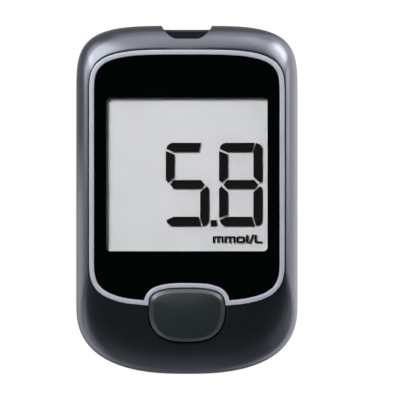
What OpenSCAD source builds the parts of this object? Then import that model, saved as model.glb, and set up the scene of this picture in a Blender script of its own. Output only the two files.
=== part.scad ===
// Pocket blood glucose meter: a domed two-part case with a lens over a segment display, one
// large key, a test strip port in a notch at the top end, and a battery door on the back.
// The meter lies on its back. The origin is the centre of the back face, +Z points out of the
// display, +Y to the strip port and +X to the reader's right. All sizes are in millimetres.

/* [Case] */
// Width of the case
case_w = 47; // [45:0.5:57]
// Length of the case
case_l = 74; // [72:0.5:90]
// Thickness of the case, from its back to the face of the lens
case_t = 14.2; // [14:0.1:18]
// Wall of the two housings
wall = 1.6; // [1.3:0.1:2]
// Depth of the curved top end
top_end = 15.5; // [13:0.5:18]
// Squareness of the top end: 2 is an ellipse, more is squarer
top_square = 4.1; // [2.8:0.1:5]
// Depth of the curved bottom end
low_end = 14.8; // [12:0.2:18]
// Squareness of the bottom end
low_square = 2.55; // [2.3:0.05:4]
// Height of the domed shoulder between the straight side and the lens
shoulder_h = 5.2; // [4:0.1:5.6]
// Radius of the edge round the back
back_r = 2.5; // [2:0.1:3]

/* [Lens and trim] */
// Shoulder between the case's side and the trim
side_shoulder = 2.8; // [2:0.1:2.9]
// Shoulder between the case's top end and the trim
top_shoulder = 5.2; // [4.4:0.1:6]
// Chin between the trim and the case's bottom end
chin = 14.5; // [13.5:0.1:16]
// Depth of the trim's curved lower end
trim_low_end = 10.2; // [8:0.2:14]
// Squareness of the trim's top end
trim_top_square = 3.9; // [2.8:0.1:5]
// Squareness of the trim's lower end
trim_low_square = 3.5; // [2.6:0.1:5]
// Width of the trim
trim_w = 1; // [0.6:0.1:1.3]
// Height of the trim above the lens
trim_rise = 0.25; // [0:0.05:0.5]
// Thickness of the lens
lens_t = 1.2; // [0.8:0.1:1.4]

/* [Display] */
// Width of the clear window
window_w = 34.2; // [30:0.2:34.4]
// Length of the clear window
window_l = 32.5; // [28:0.5:33]
// Corner radius of the clear window
window_r = 0.9; // [0.4:0.1:3]
// Drop from the lens's top edge to the window
window_drop = 9.2; // [8.6:0.1:9.4]
// Thickness of each of the display's two glasses
glass_t = 0.7; // [0.5:0.05:0.8]
// Ledge of the front glass past the rear one, for its contacts
glass_ledge = 2.2; // [2:0.1:2.3]
// Width of a digit
digit_w = 9.15; // [6:0.05:9.6]
// Height of a digit
digit_l = 17.7; // [10:0.1:20]
// Step from one digit to the next
digit_step = 11.3; // [10.8:0.1:13]
// Breadth of a digit's level bars
digit_bar = 2; // [1:0.1:2.2]
// Breadth of a digit's upright bars
digit_post = 1.85; // [1:0.05:2]

/* [Key] */
// Width of the key
key_w = 16; // [13:0.2:19.4]
// Depth of the key's curved upper end
key_head = 3.8; // [3:0.1:4.5]
// Depth of the key's curved lower end
key_tail = 7.2; // [5:0.1:8]
// Height of the key's crown above the lens
key_rise = 1.2; // [0.6:0.1:2]
// Distance from the case's bottom end to the key's widest place
key_place = 14.3; // [13.5:0.1:15]
// Running gap round the key
key_gap = 0.3; // [0.2:0.05:0.5]
// Travel of the key
key_travel = 0.9; // [0.5:0.05:1]

/* [Strip port] */
// Width of the notch at the top end
notch_w = 10.8; // [9:0.1:12]
// Depth of the notch, seen from the front
notch_d = 2.85; // [2.2:0.05:3.2]
// Corner radius of the notch
notch_r = 3.1; // [1:0.1:3.2]
// Setback of the port's face from the case's end
port_setback = 0.9; // [0.5:0.05:1.2]
// Width of the test strip that the port takes
strip_w = 6.3; // [5:0.1:7]
// Thickness of the test strip that the port takes
strip_t = 0.5; // [0.3:0.05:0.6]

/* [Battery] */
// Diameter of the coin cell
cell_d = 20; // [16:0.5:20]
// Height of the coin cell
cell_h = 3.2; // [2.5:0.1:3.4]
// Length of the battery door
door_l = 34; // [30:0.5:34]

/* [Board and screws] */
// Thickness of the circuit board
board_t = 1; // [0.8:0.1:1.2]
// Diameter of the case screws
case_screw_d = 2; // [1.6:0.1:2.2]
// Length of the case screws under their heads
case_screw_l = 8; // [6:0.5:8]
// Diameter of the board screws
board_screw_d = 1.6; // [1.2:0.1:1.8]
// Length of the board screws under their heads
board_screw_l = 3.6; // [2.5:0.1:3.6]
// Distance of the case screws from the case's sides
case_screw_inset = 6.1; // [5.8:0.1:6.3]

/* [Label] */
// Width of the blank label on the back
label_w = 28; // [16:0.5:34]
// Length of the blank label on the back
label_l = 20; // [8:0.5:24]

/* [Hidden] */

// Smoothness of the round parts and of the case's curved ends
$fn = 48;
end_steps = 26;
shoulder_step = 15;
corner_steps = 5;
far = 100;

// Clearances and small thicknesses
slip = 0.15;          // between the battery door and the rear housing
snug = 0.05;          // between parts that drop into each other
trim_gap = 0.12;      // groove round the trim
rib = 1;              // thickness of ribs and inner walls
ink_t = 0.08;         // printed mask on the back of the lens
glue_t = 0.15;        // adhesive sheet under the lens
shelf_t = 1;          // shelf of the front housing that carries the lens
gasket_t = 0.32;      // foam between the shelf and the display
film_t = 0.2;         // polariser and reflector
fluid_t = 0.1;        // gap between the display's glasses
leaf_t = 0.2;         // sheet metal of the contacts
label_t = 0.12;       // blank label on the back
label_sink = 0.2;     // depth of its recess

// Heights, from the back upwards
cell_z = wall + 0.4;
roof_z = cell_z + cell_h + 0.7;
roof_t = 0.8;
board_z = roof_z + roof_t + 0.3;
board_top = board_z + board_t;
split_z = board_z - 0.5;
lip_h = 0.8;
shoulder_z = case_t - shoulder_h;

// Heights, from the lens downwards
lens_z = case_t - lens_t;
shelf_top = lens_z - ink_t - glue_t;
shelf_z = shelf_top - shelf_t;
film_z = shelf_z - gasket_t - film_t;
front_glass_z = film_z - glass_t;
fluid_z = front_glass_z - fluid_t;
rear_glass_z = fluid_z - glass_t;
reflector_z = rear_glass_z - film_t;

// Ends and outlines of the case and the trim
case_top = case_l / 2;
case_low = -case_l / 2;
side_top = case_top - top_end;
case_outline = ended(case_w / 2, side_top, top_end, top_square,
                     case_low + low_end, low_end, low_square);
trim_top = case_top - top_shoulder;
trim_low = case_low + chin;
trim_outline = ended(case_w / 2 - side_shoulder, side_top, top_end - top_shoulder, trim_top_square,
                     trim_low + trim_low_end, trim_low_end, trim_low_square);
lens_outline = grown(trim_outline, -trim_w);

// Display, hung from the lens's top edge
window_top = trim_top - trim_w - window_drop;
window_y = window_top - window_l / 2;
window_low = window_top - window_l;
opening_margin = 0.4;
gasket_w = 1;
gasket_margin = opening_margin + 0.2;
film_margin = gasket_margin + gasket_w + 0.1;
glass_margin = film_margin + 0.2;
holder_margin = glass_margin + rib;
ledge_low = window_low - glass_margin - glass_ledge;
zebra_w = 1.5;
zebra_y = ledge_low + glass_ledge / 2;

// Key, its outline about its widest place
key_y = case_low + key_place;
key_straight = 0.25;
key_outline = shifted(
    ended(key_w / 2, key_straight / 2, key_head, 3, -key_straight / 2, key_tail, 2.6),
    key_y
);
key_mid = key_y + (key_head - key_tail) / 2;
key_edge_z = case_t - 0.2;
key_edge_r = 1.1;
collar_w = 1;
collar_z = shelf_z - 0.5;
key_slack = 0.1;
flange_w = 0.8;
flange_t = 0.7;
flange_z = collar_z - key_slack - flange_t;
contact_t = 0.05;
pill_r = 2;
pill_t = 0.45;
pill_z = board_top + contact_t + key_travel + snug;
pad_base_t = 0.5;
pad_r = 4.2;
pad_top_r = 3;
pad_top = pill_z + pill_t + 0.55;

// Battery bay: the door, its tongues and the cell
door_half = 13;
tongue_w = 0.8;
tongue_t = 0.8;
door_top = case_low + door_l;
door_end_h = 5;
end_room = 3.8;       // depth that the door's end wall takes at the case's bottom end
cell_y = door_top - cell_d / 2 - rib;
bay_half = door_half + 2 * slip;
bay_wall = 1.3;
bay_top = door_top + rib;
bay_low = case_low + end_room + 0.2;
pocket_r = cell_d / 2 + 0.3;
thumb_gap = 8;        // opening in the cell's ring for prising it out
leaf_w = 4;           // width of the battery contacts
leaf_room = 0.3;      // room round a contact where it passes the bay's roof
negative_y = cell_y + cell_d / 2 - 0.5;
grip_count = 5;       // grooves for the thumb on the door
grip_half = 6;
grip_taper = 0.6;
grip_step = 1.6;
grip_w = 0.7;
grip_d = 0.4;
grip_y = case_low + 11;

// Label on the back, between the door and the port
label_y = (door_top + case_top) / 2 - 3.5;
label_r = 1.2;
label_gap = 0.2;

// Port at the top end
port_y = case_top - port_setback;
guide_l = 2.2;
guide_half = notch_w / 2 + 0.5;
guide_in = port_y - guide_l;
guide_top = board_top + 1.5;
slot_half = strip_w / 2 + 0.25;
slot_h = strip_t + 0.4;
slot_z = board_top + 0.45;
notch_low = case_top - notch_d;
connector_l = 7.6;
connector_half = slot_half + 2.2;
connector_in = guide_in - snug - connector_l;
connector_h = 2.3;
contact_count = 5;
contact_pitch = 1.25;
contact_w = 0.6;

// Board and the places of its screws and of the case's screws
board_top_y = guide_in - 0.2;
board_low_y = case_low + 4.5;
board_gap = 0.5;
boss_r = 2.5;
thread_gap = 0.03;
case_screw_x = case_w / 2 - case_screw_inset;
case_screw_low = case_low + 10;
case_screw_top = case_top - 8.5;
case_screw_places = [for (x = [-case_screw_x, case_screw_x], y = [case_screw_low, case_screw_top]) [x, y]];
head_h = 1.4;
head_r = case_screw_d / 2 + 0.85;
seat_z = head_h + 0.6;
board_boss_r = 1.8;
board_screw_outer = case_w / 2 - case_screw_inset - 0.1;
board_screw_low = ledge_low - rib - board_boss_r - 0.6;
board_screw_inner = 10.5;
board_screw_top = case_top - 9;
board_screw_places = [
    for (side = [-1, 1], place = [[board_screw_outer, board_screw_low], [board_screw_inner, board_screw_top]])
        [side * place[0], place[1]]
];
board_head_h = 0.8;
chip_y = (door_top + case_top) / 2;

// Signed power, for superelliptic curves
function bent(value, square) = sign(value) * pow(abs(value), 2 / square);

// Closed outline with straight sides and a superelliptic curve at each end
function ended(half, top_start, top_depth, top_n, low_start, low_depth, low_n) = concat(
    [for (i = [0 : end_steps])
        let (t = 180 * i / end_steps)
        [half * bent(cos(t), top_n), top_start + top_depth * bent(sin(t), top_n)]],
    [for (i = [0 : end_steps])
        let (t = 180 + 180 * i / end_steps)
        [half * bent(cos(t), low_n), low_start + low_depth * bent(sin(t), low_n)]]
);

function shifted(outline, y) = [for (p = outline) [p[0], p[1] + y]];

// Unit vector that points out of a counter-clockwise outline's edge from a to b
function edge_out(a, b) = let (d = (b - a) / norm(b - a)) [d[1], -d[0]];

// The outline moved out by a distance, or in by a negative one
function grown(outline, distance) = let (n = len(outline)) [
    for (i = [0 : n - 1])
        let (
            before = edge_out(outline[(i + n - 1) % n], outline[i]),
            after = edge_out(outline[i], outline[(i + 1) % n])
        )
        outline[i] + distance * (before + after) / (1 + before * after)
];

// Rectangle with round corners about a centre
function rounded(w, l, r, y = 0) = [
    for (corner = [0 : 3], i = [0 : corner_steps])
        let (
            t = 90 * corner + 90 * i / corner_steps,
            sx = (corner == 0 || corner == 3) ? 1 : -1,
            sy = corner < 2 ? 1 : -1
        )
        [sx * (w / 2 - r) + r * cos(t), y + sy * (l / 2 - r) + r * sin(t)]
];

function level(outline, z) = [for (p = outline) [p[0], p[1], z]];

// One ring of a shoulder that curves from an outer outline in to an inner one
function shoulder_ring(outer, inner, z, rise, angle) = [
    for (i = [0 : len(outer) - 1])
        let (p = inner[i] + (outer[i] - inner[i]) * cos(angle))
        [p[0], p[1], z + rise * sin(angle)]
];

// Skin through rings of points that all run counter-clockwise, lowest first
module loft(rings) {
    n = len(rings[0]);
    top = len(rings) - 1;
    floor_face = [[for (i = [0 : n - 1]) i]];
    roof_face = [[for (i = [n - 1 : -1 : 0]) top * n + i]];
    sides = [
        for (r = [0 : top - 1], i = [0 : n - 1])
            let (a = r * n + i, b = r * n + (i + 1) % n)
            each [[a, a + n, b + n], [a, b + n, b]]
    ];
    polyhedron([for (ring = rings) each ring], concat(floor_face, roof_face, sides), convexity = 10);
}

module prism(outline, z0, z1) {
    translate([0, 0, z0])
        linear_extrude(height = z1 - z0)
            polygon(outline);
}

module block(low, high) {
    translate(low)
        cube(high - low);
}

module post(place, r, z0, z1) {
    translate([place[0], place[1], z0])
        cylinder(r = r, h = z1 - z0);
}

// Bowl-shaped notch, from a level upwards
module notch(low, z0, z1) {
    half = notch_w / 2;
    floor_y = notch_low + notch_r;
    intersection() {
        union() {
            block([-half, floor_y, z0], [half, far, z1]);
            block([notch_r - half, notch_low, z0], [half - notch_r, floor_y + 1, z1]);
            for (side = [-1, 1])
                post([side * (half - notch_r), floor_y], notch_r, z0, z1);
        }
        block([-far, low, z0], [far, far, z1]);
    }
}

module rear_outside() {
    loft(concat(
        [for (t = [0 : 30 : 90])
            level(grown(case_outline, -back_r * (1 - sin(t))), back_r * (1 - cos(t)))],
        [level(case_outline, split_z)]
    ));
}

module rear_inside() {
    r = back_r - wall;
    inset = grown(case_outline, -wall);
    loft(concat(
        [for (t = [0 : 30 : 90])
            level(grown(case_outline, -wall - r * (1 - sin(t))), wall + r * (1 - cos(t)))],
        [level(inset, split_z + lip_h + 1)]
    ));
}

module cell_bay() {
    wide = bay_half + bay_wall;
    difference() {
        union() {
            difference() {
                block([-wide, bay_low, wall - 0.1], [wide, bay_top, roof_z + roof_t]);
                block([-bay_half, bay_low - 1, 0], [bay_half, door_top - 0.2, roof_z]);
            }
            difference() {
                post([0, cell_y], pocket_r + rib, cell_z + 0.1, roof_z + 0.1);
                post([0, cell_y], pocket_r, 0, roof_z);
                block([0, cell_y - leaf_w / 2 - rib, 0], [far, cell_y + leaf_w / 2 + rib, roof_z]);
                block([-thumb_gap / 2, -far, 0], [thumb_gap / 2, cell_y, roof_z]);
            }
        }
        post([0, cell_y], pocket_r, 0, roof_z);
        half_slot = leaf_w / 2 + leaf_room;
        block([cell_d / 2 + snug - leaf_room, cell_y - half_slot, 0],
              [cell_d / 2 + snug + leaf_t + leaf_room, cell_y + half_slot, far]);
        block([-half_slot, negative_y - leaf_t - leaf_room, roof_z - 1],
              [half_slot, negative_y + leaf_room, far]);
    }
}

module door_space(side_slip, tongue_slip) {
    half = door_half + side_slip;
    block([-half, -far, -1], [half, door_top + side_slip, wall + side_slip]);
    block([-half, -far, -1], [half, case_low + end_room + side_slip, door_end_h + side_slip]);
    block([-half - tongue_w, -far, wall - tongue_t - tongue_slip],
          [half + tongue_w, door_top - 0.5 + side_slip, wall + side_slip]);
}

module rear_housing() {
    color("#2a2d33")
        difference() {
            union() {
                difference() {
                    union() {
                        rear_outside();
                        prism(grown(case_outline, -wall / 2 - 0.1), split_z - 2, split_z + lip_h);
                    }
                    rear_inside();
                }
                block([-guide_half - rib, guide_in, wall - 0.1], [guide_half + rib, port_y + 0.1, split_z]);
                for (place = case_screw_places)
                    post(place, boss_r, wall - 0.1, split_z);
                cell_bay();
            }
            door_space(slip, 0.1);
            for (place = case_screw_places) {
                post(place, case_screw_d / 2 + slip, -1, far);
                post(place, head_r + 0.3, -1, seat_z);
            }
            notch(port_y, -1, far);
            block([-guide_half - 0.2, guide_in - 1, split_z], [guide_half + 0.2, far, far]);
            prism(rounded(label_w + 2 * label_gap, label_l + 2 * label_gap, label_r + label_gap, label_y),
                  -1, label_sink);
        }
}

module rating_label() {
    color("#d9dadb")
        prism(rounded(label_w, label_l, label_r, label_y), label_sink - label_t, label_sink);
}

module battery_door() {
    color("#2a2d33")
        difference() {
            intersection() {
                difference() {
                    rear_outside();
                    rear_inside();
                }
                door_space(0, 0);
            }
            for (i = [0 : grip_count - 1]) {
                half = grip_half - grip_taper * i;
                y = grip_y - grip_step * i;
                block([-half, y, -1], [half, y + grip_w, grip_d]);
            }
        }
}

module front_outside() {
    loft(concat(
        [level(case_outline, split_z)],
        [for (t = [0 : shoulder_step : 90])
            shoulder_ring(case_outline, trim_outline, shoulder_z, shoulder_h, t)]
    ));
}

module front_inside() {
    inset = grown(case_outline, -wall);
    loft(concat(
        [level(inset, split_z - 1)],
        [for (t = [0 : shoulder_step : 90])
            shoulder_ring(inset, trim_outline, shoulder_z, shelf_z - shoulder_z, t)]
    ));
}

module front_housing() {
    opening = rounded(window_w + 2 * opening_margin, window_l + 2 * opening_margin, window_r, window_y);
    color("#2f333b")
        difference() {
            union() {
                difference() {
                    front_outside();
                    front_inside();
                    prism(grown(case_outline, -wall / 2), split_z - 1, split_z + lip_h + 0.1);
                }
                for (place = case_screw_places)
                    post(place, boss_r, split_z, shelf_z + 0.2);
                for (place = board_screw_places)
                    post(place, board_boss_r, board_top, shelf_z + 0.2);
                prism(grown(key_outline, key_gap + collar_w), collar_z, shelf_z + 0.3);
            }
            prism(grown(key_outline, key_gap), 0, far);
            prism(grown(key_outline, key_gap + collar_w), split_z, collar_z);
            prism(grown(trim_outline, trim_gap), shelf_top, far);
            prism(opening, shelf_z - 1, far);
            for (place = case_screw_places)
                post(place, case_screw_d / 2 + thread_gap, 0, seat_z + case_screw_l + 0.4);
            for (place = board_screw_places)
                post(place, board_screw_d / 2 + thread_gap, 0, board_z + board_screw_l + 0.2);
            notch(port_y, 0, far);
            notch(notch_low, guide_top + snug, far);
            block([-guide_half - 0.1, guide_in - 0.1, 0], [guide_half + 0.1, port_y + 0.1, guide_top + snug]);
        }
}

module trim_ring() {
    color("#b9c2cf")
        difference() {
            prism(trim_outline, shelf_top, case_t + trim_rise);
            prism(grown(key_outline, key_gap), 0, far);
            difference() {
                prism(lens_outline, 0, far);
                prism(grown(key_outline, key_gap + trim_w), 0, far);
            }
        }
}

// The lens's outline as a plate, drawn in from the trim
module lens_plate(inset, z0, z1) {
    difference() {
        prism(grown(lens_outline, -inset), z0, z1);
        prism(grown(key_outline, key_gap + trim_w + inset), z0 - 1, z1 + 1);
    }
}

module window_lens() {
    color("#9fb0bd", 0.4)
        lens_plate(snug, lens_z, case_t);
}

module window_mask() {
    color("#050608")
        difference() {
            lens_plate(2 * snug, lens_z - ink_t, lens_z);
            prism(rounded(window_w, window_l, window_r, window_y), 0, far);
        }
}

module lens_adhesive() {
    color("#8d8f8c")
        difference() {
            lens_plate(0.3, shelf_top, shelf_top + glue_t);
            prism(rounded(window_w + 2, window_l + 2, window_r + 0.6, window_y), 0, far);
        }
}

module window_plate(margin, z, t, r = 0.5) {
    prism(rounded(window_w + 2 * margin, window_l + 2 * margin, r, window_y), z, z + t);
}

module lcd_gasket() {
    color("#1c1d1f")
        difference() {
            window_plate(gasket_margin + gasket_w, shelf_z - gasket_t, gasket_t);
            window_plate(gasket_margin, 0, far);
        }
}

module lcd_polariser() {
    color("#aeb3ae", 0.5)
        window_plate(film_margin, film_z, film_t, 0.2);
}

module lcd_front_glass() {
    half = window_w / 2 + glass_margin;
    color("#bcc7c4", 0.4)
        block([-half, ledge_low, front_glass_z], [half, window_top + glass_margin, front_glass_z + glass_t]);
}

module lcd_rear_glass() {
    color("#bcc7c4", 0.4)
        window_plate(glass_margin, rear_glass_z, glass_t, 0.2);
}

module lcd_seal() {
    color("#5b5f5a")
        difference() {
            window_plate(glass_margin - 0.1, fluid_z, fluid_t);
            window_plate(glass_margin - 0.9, 0, far);
        }
}

module lcd_reflector() {
    color("#cdced0")
        window_plate(glass_margin - 0.1, reflector_z, film_t, 0.2);
}

// Outlines of a digit's bars, from its lower left corner. The left ends are pointed, the
// outer corners cut, and the middle bar is a long hexagon.
digit_split = 0.25;
digit_cut = 1.2;
digit_mid = digit_l / 2;
digit_lean = 0.5;

function bar_top() = [
    [0.1, digit_l - 1.3], [digit_post - 0.15, digit_l - digit_bar],
    [digit_w - digit_post - digit_lean + 0.2, digit_l - digit_bar],
    [digit_w - digit_post + 0.2, digit_l], [digit_cut, digit_l], [0.35, digit_l - 0.55]
];

function bar_middle() = let (half = (digit_bar - 0.1) / 2) [
    [digit_post / 2, digit_mid], [digit_post / 2 + 0.75, digit_mid - half],
    [digit_w - digit_post / 2 - 0.75, digit_mid - half], [digit_w - digit_post / 2, digit_mid],
    [digit_w - digit_post / 2 - 0.75, digit_mid + half], [digit_post / 2 + 0.75, digit_mid + half]
];

function post_left() = [
    [0, digit_mid + 0.95], [0.5, digit_mid + 0.35], [digit_post, digit_mid + 1.6],
    [digit_post, digit_l - digit_bar - 0.45], [0, digit_l - 1.75]
];

function post_right() = [
    [digit_w, digit_mid + 0.85], [digit_w, digit_l - digit_cut], [digit_w - 0.4, digit_l - 0.35],
    [digit_w - digit_post + 0.2 + digit_split + 0.1, digit_l],
    [digit_w - digit_post, digit_l - digit_bar + 0.2], [digit_w - digit_post, digit_mid + 1.6],
    [digit_w - 0.45, digit_mid + 0.35]
];

function upside_down(outline) = [
    for (i = [len(outline) - 1 : -1 : 0]) [outline[i][0], digit_l - outline[i][1]]
];

digit_five = [bar_top(), post_left(), bar_middle(), upside_down(post_right()), upside_down(bar_top())];
digit_eight = concat(digit_five, [post_right(), upside_down(post_left())]);

// The reading sits in the lower right of the window, over its unit
reading_x = window_w / 2 - 1.13 - digit_w;
reading_y = window_low + 5.3;
unit_x = window_w / 2 - 11.6;
unit_y = window_low + 1.75;
point_size = 1.3;

module lcd_segments() {
    color("#211e1e") {
        for (bar = digit_eight)
            translate([reading_x, reading_y, 0])
                prism(bar, fluid_z, front_glass_z);
        for (bar = digit_five)
            translate([reading_x - digit_step, reading_y, 0])
                prism(bar, fluid_z, front_glass_z);
        point_x = reading_x - (digit_step - digit_w) / 2 - point_size / 2 - 0.05;
        block([point_x, reading_y, fluid_z], [point_x + point_size, reading_y + point_size, front_glass_z]);
    }
}

// Letters of the unit: height of the small ones, of the tall ones, and breadth of a stroke
letter_h = 1.4;
letter_tall = 1.7;
stroke = 0.42;

module bar_at(x, y, w, h) {
    block([x, y, fluid_z], [x + w, y + h, front_glass_z]);
}

module letter_m(x) {
    stem = 0.4;
    for (i = [0 : 2])
        bar_at(x + i * 0.93, 0, stem, letter_h);
    bar_at(x, letter_h - 0.36, 2.26, 0.36);
}

module letter_o(x) {
    difference() {
        prism(rounded(1.75, letter_h, 0.4, letter_h / 2), fluid_z, front_glass_z);
        prism(rounded(1.75 - 2 * stroke, letter_h - 0.68, 0.15, letter_h / 2), 0, far);
    }
}

module lcd_unit_sign() {
    color("#211e1e")
        translate([unit_x, unit_y, 0]) {
            letter_m(0);
            letter_m(2.52);
            translate([5.93, 0, 0])
                letter_o(0);
            bar_at(7.06, 0, stroke, letter_tall);
            prism([[7.62, -0.15], [7.98, -0.15], [8.75, letter_tall + 0.1], [8.39, letter_tall + 0.1]],
                  fluid_z, front_glass_z);
            bar_at(8.85, 0, stroke, letter_tall);
            bar_at(8.85, 0, 1.6, 0.38);
        }
}

module lcd_holder() {
    half = window_w / 2;
    open = glass_margin + snug;
    zebra_room = zebra_w / 2 + snug;
    color("#e4e4df")
        difference() {
            block([-half - holder_margin, ledge_low - rib, board_top],
                  [half + holder_margin, window_top + holder_margin, shelf_z - gasket_t]);
            block([-half - open, ledge_low - snug, front_glass_z],
                  [half + open, window_top + open, far]);
            window_plate(open, reflector_z, far, 0.2);
            window_plate(0, 0, far);
            block([-half - snug, zebra_y - zebra_room, 0], [half + snug, zebra_y + zebra_room, far]);
        }
}

module zebra_strip() {
    half = window_w / 2;
    color("#3c3c3e")
        block([-half, zebra_y - zebra_w / 2, board_top], [half, zebra_y + zebra_w / 2, front_glass_z]);
}

module main_board() {
    color("#1f6b45")
        difference() {
            intersection() {
                prism(grown(case_outline, -wall - board_gap), board_z, board_top);
                block([-far, board_low_y, board_z], [far, board_top_y, board_top]);
            }
            for (place = case_screw_places) {
                side = sign(place[0]);
                reach = boss_r + 0.4;
                post(place, reach, 0, far);
                translate([place[0] + side * far / 2, place[1], 0])
                    cube([far, 2 * reach, far], center = true);
            }
            for (place = board_screw_places)
                post(place, board_screw_d / 2 + 0.1, 0, far);
        }
}

// A chip under the board, with leads along two or all four of its sides
module chip(place, size, height, pitch, per_side, sides) {
    lead_w = pitch * 0.45;
    shelf = height * 0.45;
    translate([place[0], place[1], board_z]) {
        translate([0, 0, -height / 2 - 0.05])
            cube([size[0], size[1], height - 0.1], center = true);
        for (turn = [0 : sides - 1], i = [0 : per_side - 1]) {
            angle = turn * 360 / sides;
            reach = (turn % 2 == 0 || sides == 2) ? size[0] / 2 : size[1] / 2;
            rotate(angle)
                translate([reach - 0.1, (i - (per_side - 1) / 2) * pitch + lead_w / 2, 0])
                    rotate([90, 0, 0])
                        linear_extrude(height = lead_w)
                            polygon([[0, -shelf], [0, -shelf - 0.15], [0.45, -shelf - 0.15],
                                     [0.45, -0.15], [0.9, -0.15], [0.9, 0], [0.3, 0], [0.3, -shelf]]);
        }
    }
}

module microcontroller() {
    color("#26272a")
        chip([3, chip_y - 6], [9, 9], 1.4, 0.8, 10, 4);
}

module amplifier_chip() {
    color("#26272a")
        chip([6, connector_in + 1], [3, 4.2], 1.1, 0.95, 4, 2);
}

module memory_chip() {
    color("#26272a")
        chip([-8.5, chip_y - 11], [4, 5], 1.5, 1.2, 4, 2);
}

module crystal() {
    color("#c4c6c8")
        translate([-9, chip_y - 4, board_z - 1.05])
            rotate([0, 90, 0])
                cylinder(r = 1.05, h = 6, center = true);
}

module buzzer() {
    place = [-10, chip_y + 5];
    size = 9;
    height = 2.2;
    color("#17181a")
        difference() {
            translate([place[0], place[1], 0])
                prism(rounded(size, size, 0.6), board_z - height, board_z);
            post(place, 1.3, board_z - height - 1, board_z - height + 0.6);
        }
}

// Small two-ended parts: seven under the board and four on its front, beside the port
module chip_part(place, turn, under) {
    z = under ? board_z - 0.35 : board_top + 0.35;
    translate([place[0], place[1], z])
        rotate(turn)
            cube([1.6, 0.8, 0.7], center = true);
}

module chip_parts() {
    color("#b49a72") {
        for (i = [0 : 3])
            chip_part([11, chip_y - 11 + 2.4 * i], 0, true);
        for (i = [0 : 2])
            chip_part([9 + 2.3 * i, chip_y + 4.5], 90, true);
        for (side = [-1, 1], i = [0 : 1])
            chip_part([side * (connector_half + 1.4), connector_in + 1.5 + 2 * i], 0, false);
    }
}

module temperature_sensor() {
    color("#1b1c1e")
        block([-connector_half - 2.4, board_top_y - 1.4, board_top],
              [-connector_half - 0.6, board_top_y - 0.3, board_top + 0.8]);
}

// Two half discs of plating that the carbon pill bridges
module key_contacts() {
    color("#d8b25a")
        difference() {
            post([0, key_mid], pill_r + 0.4, board_top, board_top + contact_t);
            block([-0.25, -far, 0], [0.25, far, far]);
        }
}

module strip_port_guide() {
    soft = 0.4;
    mouth = 0.5;
    slot_top = slot_z + slot_h;
    color("#14171b")
        difference() {
            translate([-guide_half, 0, 0])
                rotate([90, 0, 90])
                    linear_extrude(height = 2 * guide_half)
                        polygon([[guide_in, split_z], [port_y, split_z], [port_y, guide_top - soft],
                                 [port_y - soft, guide_top], [guide_in, guide_top]]);
            block([-slot_half, 0, slot_z], [slot_half, far, slot_top]);
            translate([-slot_half, 0, 0])
                rotate([90, 0, 90])
                    linear_extrude(height = 2 * slot_half)
                        polygon([[port_y - 2 * mouth, slot_z], [port_y + 1, slot_z - 1.5 * mouth],
                                 [port_y + 1, slot_top + mouth], [port_y - 2 * mouth, slot_top]]);
        }
}

// Where the strip's contacts lie, across the connector
contact_xs = [for (i = [0 : contact_count - 1]) (i - (contact_count - 1) / 2) * contact_pitch];

module strip_connector() {
    color("#e9e6dc")
        difference() {
            block([-connector_half, connector_in, board_top],
                  [connector_half, guide_in - snug, board_top + connector_h]);
            block([-slot_half, connector_in + 1.2, slot_z], [slot_half, far, slot_z + slot_h]);
            for (x = contact_xs)
                block([x - contact_w / 2 - 0.1, -far, slot_z + slot_h / 2],
                      [x + contact_w / 2 + 0.1, guide_in - 1.2, far]);
        }
}

// Sprung leaves that bear on the strip from above, with tails on the board
module strip_contacts() {
    high = slot_z + slot_h + 0.25;
    tail = connector_in - 0.9;
    color("#d8b25a")
        for (x = contact_xs)
            translate([x - contact_w / 2, 0, 0])
                rotate([90, 0, 90])
                    linear_extrude(height = contact_w)
                        polygon([[tail, board_top], [connector_in - 0.1, board_top],
                                 [connector_in - 0.1, high], [guide_in - 3.4, slot_z + slot_h / 2 + 0.1],
                                 [guide_in - 2.2, high], [guide_in - 2.2, high + leaf_t],
                                 [guide_in - 3.4, slot_z + slot_h / 2 + 0.1 + leaf_t],
                                 [connector_in - 0.1, high + leaf_t],
                                 [connector_in - 0.1 - leaf_t, high + leaf_t],
                                 [connector_in - 0.1 - leaf_t, board_top + leaf_t],
                                 [tail, board_top + leaf_t]]);
}

// The key's outline drawn in towards its middle
function key_ring(share, z) = [
    for (p = grown(key_outline, -key_edge_r)) [p[0] * share, key_mid + (p[1] - key_mid) * share, z]
];

module main_button() {
    edge_rise = 0.75;
    crown_z = key_edge_z + edge_rise;
    crown_rise = case_t + key_rise - crown_z;
    color("#2e3b3a")
        union() {
            loft(concat(
                [level(key_outline, flange_z)],
                [for (t = [0 : 18 : 90])
                    level(grown(key_outline, -key_edge_r * (1 - cos(t))), key_edge_z + edge_rise * sin(t))],
                [for (share = [0.85, 0.65, 0.45, 0.25, 0.08])
                    key_ring(share, crown_z + crown_rise * (1 - share * share))]
            ));
            prism(grown(key_outline, flange_w), flange_z, flange_z + flange_t);
            post([0, key_mid], pad_top_r, pad_top + key_slack, flange_z + 0.1);
        }
}

// Silicone pad: a sheet on the board with a dome that holds the carbon pill under the key
module key_pad() {
    pad_w = key_w + 2.4;
    pad_l = key_head + key_tail + 1.8;
    skin = 0.35;
    base_z = board_top + pad_base_t;
    shoulder = pill_z + 0.1;
    color("#9aa3a6")
        difference() {
            union() {
                prism(rounded(pad_w, pad_l, 1.5, key_mid), board_top, base_z);
                translate([0, key_mid, 0])
                    rotate_extrude()
                        polygon([[0, base_z - 0.1], [pad_r, base_z - 0.1], [pad_top_r, shoulder],
                                 [pad_top_r, pad_top], [0, pad_top]]);
            }
            translate([0, key_mid, 0])
                rotate_extrude()
                    polygon([[0, board_top - 1], [pad_r - skin, board_top - 1], [pad_r - skin, base_z],
                             [pad_top_r - skin, pill_z], [pill_r, pill_z], [pill_r, pill_z + pill_t],
                             [0, pill_z + pill_t]]);
        }
}

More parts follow.
